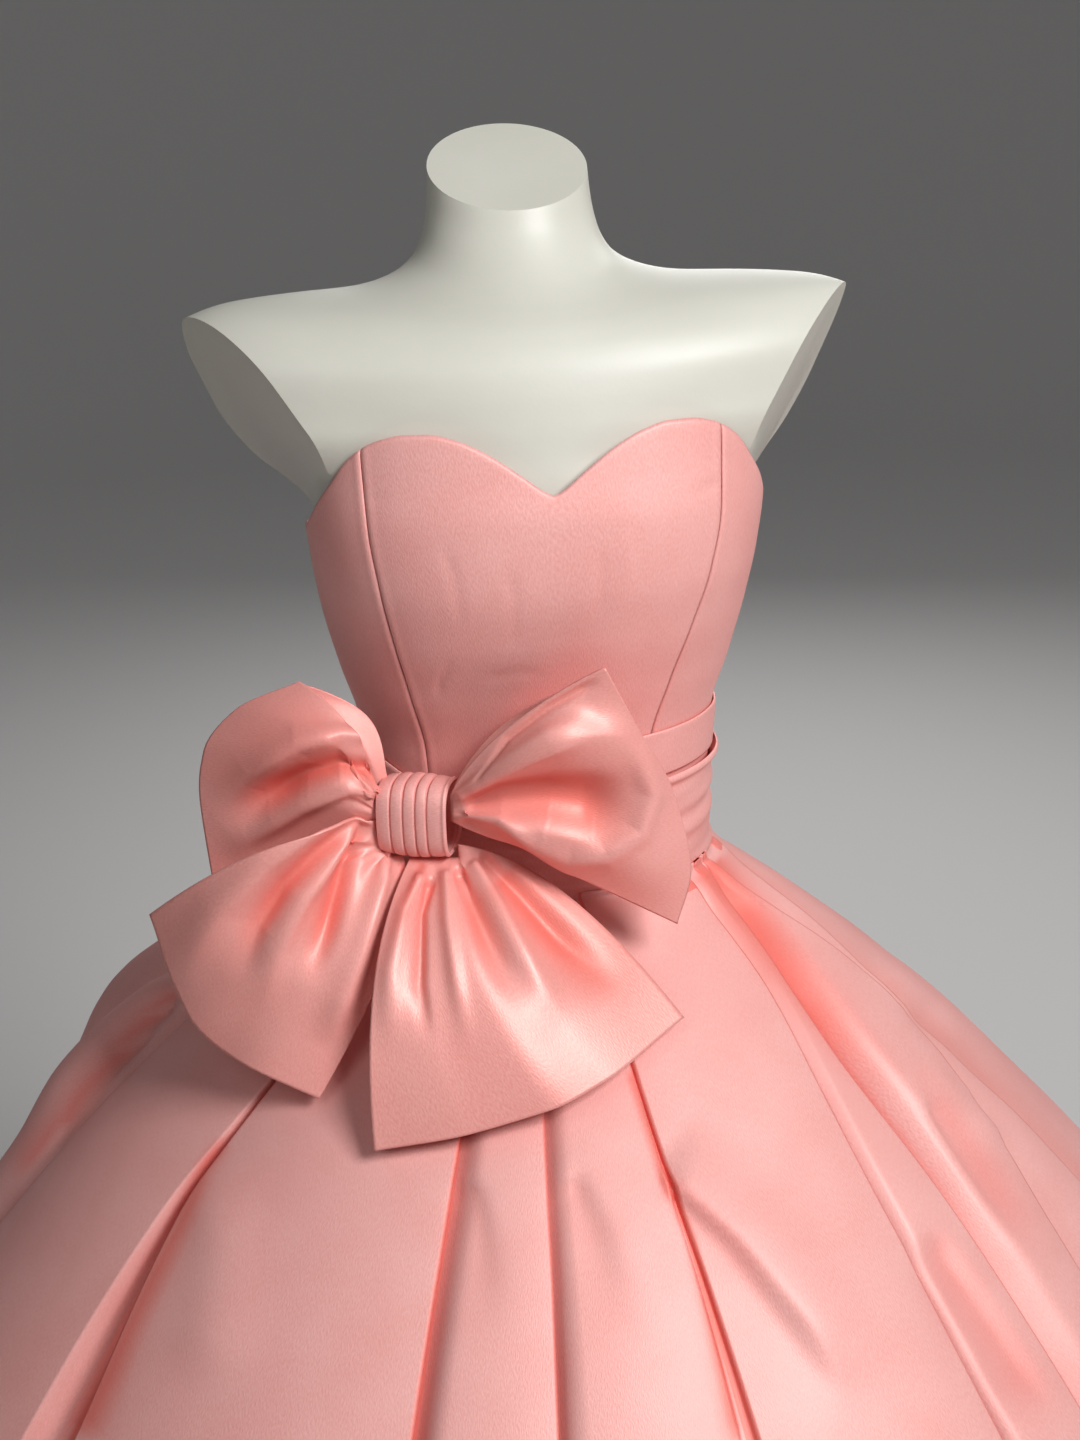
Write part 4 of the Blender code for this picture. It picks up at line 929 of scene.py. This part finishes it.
def cut_corners(points, times):
    """The open line through the points with its corners cut, so it bends smoothly."""
    for _ in range(times):
        first = 0.75 * points[:-1] + 0.25 * points[1:]
        second = 0.25 * points[:-1] + 0.75 * points[1:]
        inner = np.stack([first, second], axis=1).reshape(-1, 2)
        points = np.concatenate([points[:1], inner[1:-1], points[-1:]])
    return points


PIECE_COLUMNS = len(cut_corners(np.zeros((FOLD_POINTS, 2)), CORNER_CUTS))


def panel_places(width, inner_points):
    """Where a panel of a width in cm has its points, from 0 to 1, closest at its edges."""
    step = min(EDGE_STEP / width, 0.35 / EDGE_POINTS)
    edge = step * np.arange(1, EDGE_POINTS + 1)
    inner = np.linspace(edge[-1], 1 - edge[-1], inner_points + 2)[1:-1]
    return np.concatenate([edge, inner, 1 - edge[::-1]])


def skirt_section(drop):
    """The skirt's points at one drop, the same on its plain cone, and the painted shade they get
    where they lie deep.
    """
    level = WAIST_Z - SKIRT_TOP_DROP - drop
    above, drop = max(-drop, 0.0), max(drop, 0.0)
    radius = float(column(SKIRT_SPREAD, 1, drop))
    pleats = [Pleat(drop, radius, *row) for row in PLEATS]
    panels = [panel_profile(pleat, pleats[(k + 1) % len(pleats)], drop, radius)
              for k, pleat in enumerate(pleats)]
    section, edge_shade, in_slot = [], [], []
    half = PIECE_COLUMNS // 2
    for k, pleat in enumerate(pleats):
        start, width, height = panels[k]
        cover_width = width if pleat.kind == "under" else panels[k - 1][1]
        pleat.lap = min(pleat.lap, MAX_UNDERLAP * cover_width)
        fold = np.array(pleat.points(panels[k - 1][2], height), float)
        places = panel_places(radius * math.radians(width), INNER_POINTS[k])
        section.extend(cut_corners(fold, CORNER_CUTS))
        section.extend((angle, height(angle)) for angle in start + width * places)
        # painted shade along the folded edges of the pleats
        edge_shade += [EDGE_SHADE * (pleat.kind == "over")] * half
        edge_shade += [EDGE_SHADE * (pleat.kind != "under")] * half + [0.0] * len(places)
        in_slot += [pleat.kind == "open"] * PIECE_COLUMNS + [False] * len(places)
    angles, heights = np.array(section).T
    plain_reach, heights = skirt_radius(angles, drop), heights * waist_squeeze(drop)
    if above:
        waist = body_point(angles, WAIST_Z, SKIRT_WALL)
        plain_reach, heights = np.hypot(waist[:, 0], waist[:, 1]), 0.0 * heights
    turn = np.radians(angles)

    def place(reach):
        return np.stack([reach * np.sin(turn), -reach * np.cos(turn), level + 0.0 * turn], axis=-1)
    # painted shade where the cloth lies deep under a panel, but not on an open pleat's floor
    shade_paint = np.clip(-(heights + SHALLOW) / FULL_TRENCH, 0.0, 1.0)
    shade_paint = np.where(in_slot, 0.0, shade_paint) + np.array(edge_shade)
    return place(plain_reach + heights), place(plain_reach), shade_paint


def make_skirt(finish):
    """Three pleated panels, joined at seams hidden inside pleats."""
    drops = SKIRT_LENGTH * np.linspace(0.0, 1.0, SKIRT_ROWS) ** ROW_CROWDING
    drops = np.concatenate([[-SEAM_ALLOWANCE, -SEAM_ALLOWANCE / 2], drops])
    grid, base, painted_shade = (np.array(rows)[::-1] for rows in zip(*map(skirt_section, drops)))
    outward = base * np.array([1.0, 1.0, 0.0])
    outward /= np.linalg.norm(outward, axis=2, keepdims=True)
    facing = facing_camera(base, outward, *SKIRT_FOLDS_FACE)
    folds = fold_heights(grid, SKIRT_FOLDS) * facing
    grid = grid + outward * folds[..., None]
    # painted shade: the folds' troughs and the skirt's shade strokes add to it
    painted_shade = np.clip(painted_shade + np.clip(-folds / SKIRT_FULL_SHADE_TROUGH, 0.0, 1.0)
                     + fold_heights(grid, SKIRT_SHADE_STROKES) * facing, 0.0, 1.0)
    counts = [PIECE_COLUMNS + 2 * EDGE_POINTS + inner for inner in INNER_POINTS]
    scale, total = 2 ** CORNER_CUTS, sum(counts)
    left, right, back = (sum(counts[:pleat]) + round((point - 0.5) * scale)
                         for pleat, point in SKIRT_SEAMS)
    for name, first, last in (("skirt_front", left, right), ("skirt_back_right", right, back),
                              ("skirt_back_left", back, left + total)):
        picks = np.arange(first, last + 1) % total
        panel = grid[:, picks]
        for edge, neighbour in ((0, 1), (-1, -2)):
            panel[:, edge] += (panel[:, neighbour] - panel[:, edge]) * SEAM_INSET
        cloth(name, panel, SKIRT_WALL, finish, "gathered", painted_shade=painted_shade[:, picks])


# ---- bow ----
def ray_table(rays, index, across):
    """One column of a petal's rays, read across the petal."""
    return smooth(np.linspace(0.0, 1.0, len(rays)), [ray[index] for ray in rays], across)


def petal_front(rays, rows, cols):
    """A petal's front layer, rows from the knot out and columns from ray to ray."""
    across = np.linspace(0.0, 1.0, cols)
    root, middle, end = (
        np.stack([ray_table(rays, k, across), -ray_table(rays, k + 1, across),
                  ray_table(rays, k + 2, across)], axis=-1) for k in (0, 3, 6))
    control = 2 * middle - (root + end) / 2
    grid = []
    for t in np.linspace(0.0, 1.0, rows) ** 0.9:
        grid.append((1 - t) ** 2 * root + 2 * t * (1 - t) * control + t * t * end)
    return np.array(grid)


def gathered(grid, gathers, phase):
    """A petal with its fine gathers, which run out from the knot and fade."""
    rows, cols = grid.shape[:2]
    out = np.linspace(0.0, 1.0, rows)[:, None]
    across = np.linspace(0.0, 2 * math.pi, cols)[None, :]
    wave = np.cos(gathers * across + phase) + 0.5 * np.cos(1.7 * gathers * across + 2 * phase)
    height = GATHER_HEIGHT * wave * smoothstep(0.0, 0.06, out) * bell(out / GATHER_REACH)
    return grid + grid_normals(grid) * height[..., None]


def loop_strip(front, folds, shade_paint):
    """A loop's whole strip: out along its front layer, round its end, back behind."""
    yaw = math.radians(BOW_YAW)
    back_way = np.array([-math.sin(yaw), math.cos(yaw), 0.0])
    reach = np.linspace(0.0, 1.0, len(front))
    fullness = 0.5 + 0.5 * np.sin(math.pi * reach ** 0.7) ** 2
    depth = LOOP_DEPTH * fullness * np.sqrt(np.clip(1 - reach ** 6, 0.0, 1.0))
    narrow = 0.06 * reach[:, None, None] * (front.mean(axis=1, keepdims=True) - front)
    behind = front + back_way * depth[:, None, None] + narrow
    front, painted_shade = folded(gathered(front, *LOOP_GATHERS), folds, shade_paint)
    return np.concatenate([front, behind[-2::-1]]), np.concatenate([painted_shade, 0.0 * painted_shade[1:]])


def knot_grid(steps, cols):
    """The knot: overlapping bands round the bow's middle, columns round it."""
    across = np.linspace(-1.0, 1.0, cols)
    meets = np.array(KNOT_BANDS)
    band = np.clip(np.searchsorted(meets, across, side="right") - 1, 0, len(meets) - 2)
    t = (across - meets[band]) / (meets[band + 1] - meets[band])
    crack = np.abs(across[:, None] - meets[1:-1]).min(axis=1) * KNOT_HALF_WIDTH
    relief = BAND_BULGE * np.sin(math.pi * t) - CRACK_DEPTH * bell(crack / CRACK_WIDTH)
    relief += RIM_HEIGHT * bell((across - RIM_PLACE) / RIM_WIDTH)
    girth = (1.0 - KNOT_PINCH * across ** 2) * (1.0 + relief / KNOT_HALF_HEIGHT)
    turn = np.linspace(0.0, 2 * math.pi, steps + 1)[:-1]
    depth = np.where(np.cos(turn) > 0, KNOT_HALF_DEPTH, KNOT_BACK_DEPTH)
    ring = np.stack([1.0 + 0.0 * turn, -depth * rounded(np.cos(turn), KNOT_POWER),
                     KNOT_HALF_HEIGHT * rounded(np.sin(turn), KNOT_POWER)], axis=-1)
    return ring * np.stack([KNOT_HALF_WIDTH * across, girth, girth], axis=-1)[:, None]


def make_bow(finish, knot_finish):
    """The knot, two loops and two tails."""
    centre, yaw = np.array(BOW_CENTRE), math.radians(BOW_YAW)
    turn = np.array([[math.cos(yaw), -math.sin(yaw), 0.0],
                     [math.sin(yaw), math.cos(yaw), 0.0], [0.0, 0.0, 1.0]])
    knot = knot_grid(*KNOT_POINTS) @ turn.T + centre + np.array(KNOT_OFFSET)
    cloth("bow_knot", knot[:, ::-1], KNOT_WALL, knot_finish, "folded", closed=True)
    for name, rays, folds, shade_paint in BOW_PETALS:
        front = petal_front(rays, PETAL_POINTS, PETAL_POINTS) + centre
        if name.startswith("bow_loop"):
            held, (grid, painted_shade) = "folded", loop_strip(front, folds, shade_paint)
        else:
            held, (grid, painted_shade) = "hung", folded(gathered(front, *TAIL_GATHERS), folds, shade_paint)
        cloth(name, grid, BOW_WALL, finish, held, painted_shade=painted_shade)


# ---- room ----
COVE_START, COVE_FLAT, COVE_BEND, COVE_HEIGHT = 2.5, 5.0, 4.0, 7.0
COVE_TURNS, COVE_STEPS = 96, 19
FLOOR_COLOUR, FLOOR_ROUGHNESS = (0.80, 0.79, 0.78, 1.0), 0.7
WORLD_COLOUR, WORLD_STRENGTH = (0.80, 0.80, 0.82, 1.0), 0.11
# name, place, the height it is aimed at, size, watts
LIGHTS = [
    ("key", (1.25, -2.0, 3.0), 1.05, 1.0, 67.0),
    ("fill", (-1.2, -1.9, 3.0), 1.0, 1.4, 8.5),
    ("rim", (1.9, 1.6, 2.4), 1.1, 1.0, 7.0),
    ("back", (0.7, 3.0, 1.9), 0.9, 1.4, 15.0),
]


def make_room():
    """A plain pale floor that curves up into a backdrop, and soft studio light."""
    bends = np.radians(np.linspace(0, 90, COVE_STEPS))
    profile = [(COVE_START, 0.0)]
    profile += [(COVE_FLAT + COVE_BEND * math.sin(t), COVE_BEND * (1 - math.cos(t))) for t in bends]
    profile.append((COVE_FLAT + COVE_BEND, COVE_HEIGHT))
    turns = np.radians(np.arange(COVE_TURNS) * 360 / COVE_TURNS)
    points = [(r * math.cos(t), r * math.sin(t), z) for r, z in profile for t in turns]
    faces = [face[::-1] for face in faces_of(len(profile), COVE_TURNS, True)[2]]
    faces.append(list(range(COVE_TURNS)))
    n = Nodes("floor")
    n.fill(n.shader, {"Base Color": FLOOR_COLOUR, "Roughness": FLOOR_ROUGHNESS})
    new_object("floor", points, faces, n.material)
    scene = bpy.context.scene
    scene.world = bpy.data.worlds.new("studio")
    scene.world.use_nodes = True
    background = scene.world.node_tree.nodes["Background"].inputs
    background["Color"].default_value = WORLD_COLOUR
    background["Strength"].default_value = WORLD_STRENGTH
    scene.view_settings.view_transform = "Standard"
    scene.view_settings.look = "Medium High Contrast"
    for name, place, height, size, power in LIGHTS:
        data = bpy.data.lights.new(name, "AREA")
        data.energy, data.size = power, size
        light = bpy.data.objects.new(name, data)
        way = Vector((0.0, 0.0, height)) - Vector(place)
        light.location = place
        light.rotation_euler = way.to_track_quat("-Z", "Y").to_euler()
        scene.collection.objects.link(light)


# ---- the whole scene ----
make_camera()
dress_satin = satin("dress_satin")
make_form(shell_white(), brushed_steel())
make_bodice(dress_satin)
make_sash(dress_satin)
make_skirt(satin("skirt_satin"))
make_bow(satin("bow_satin"), dress_satin)
make_room()
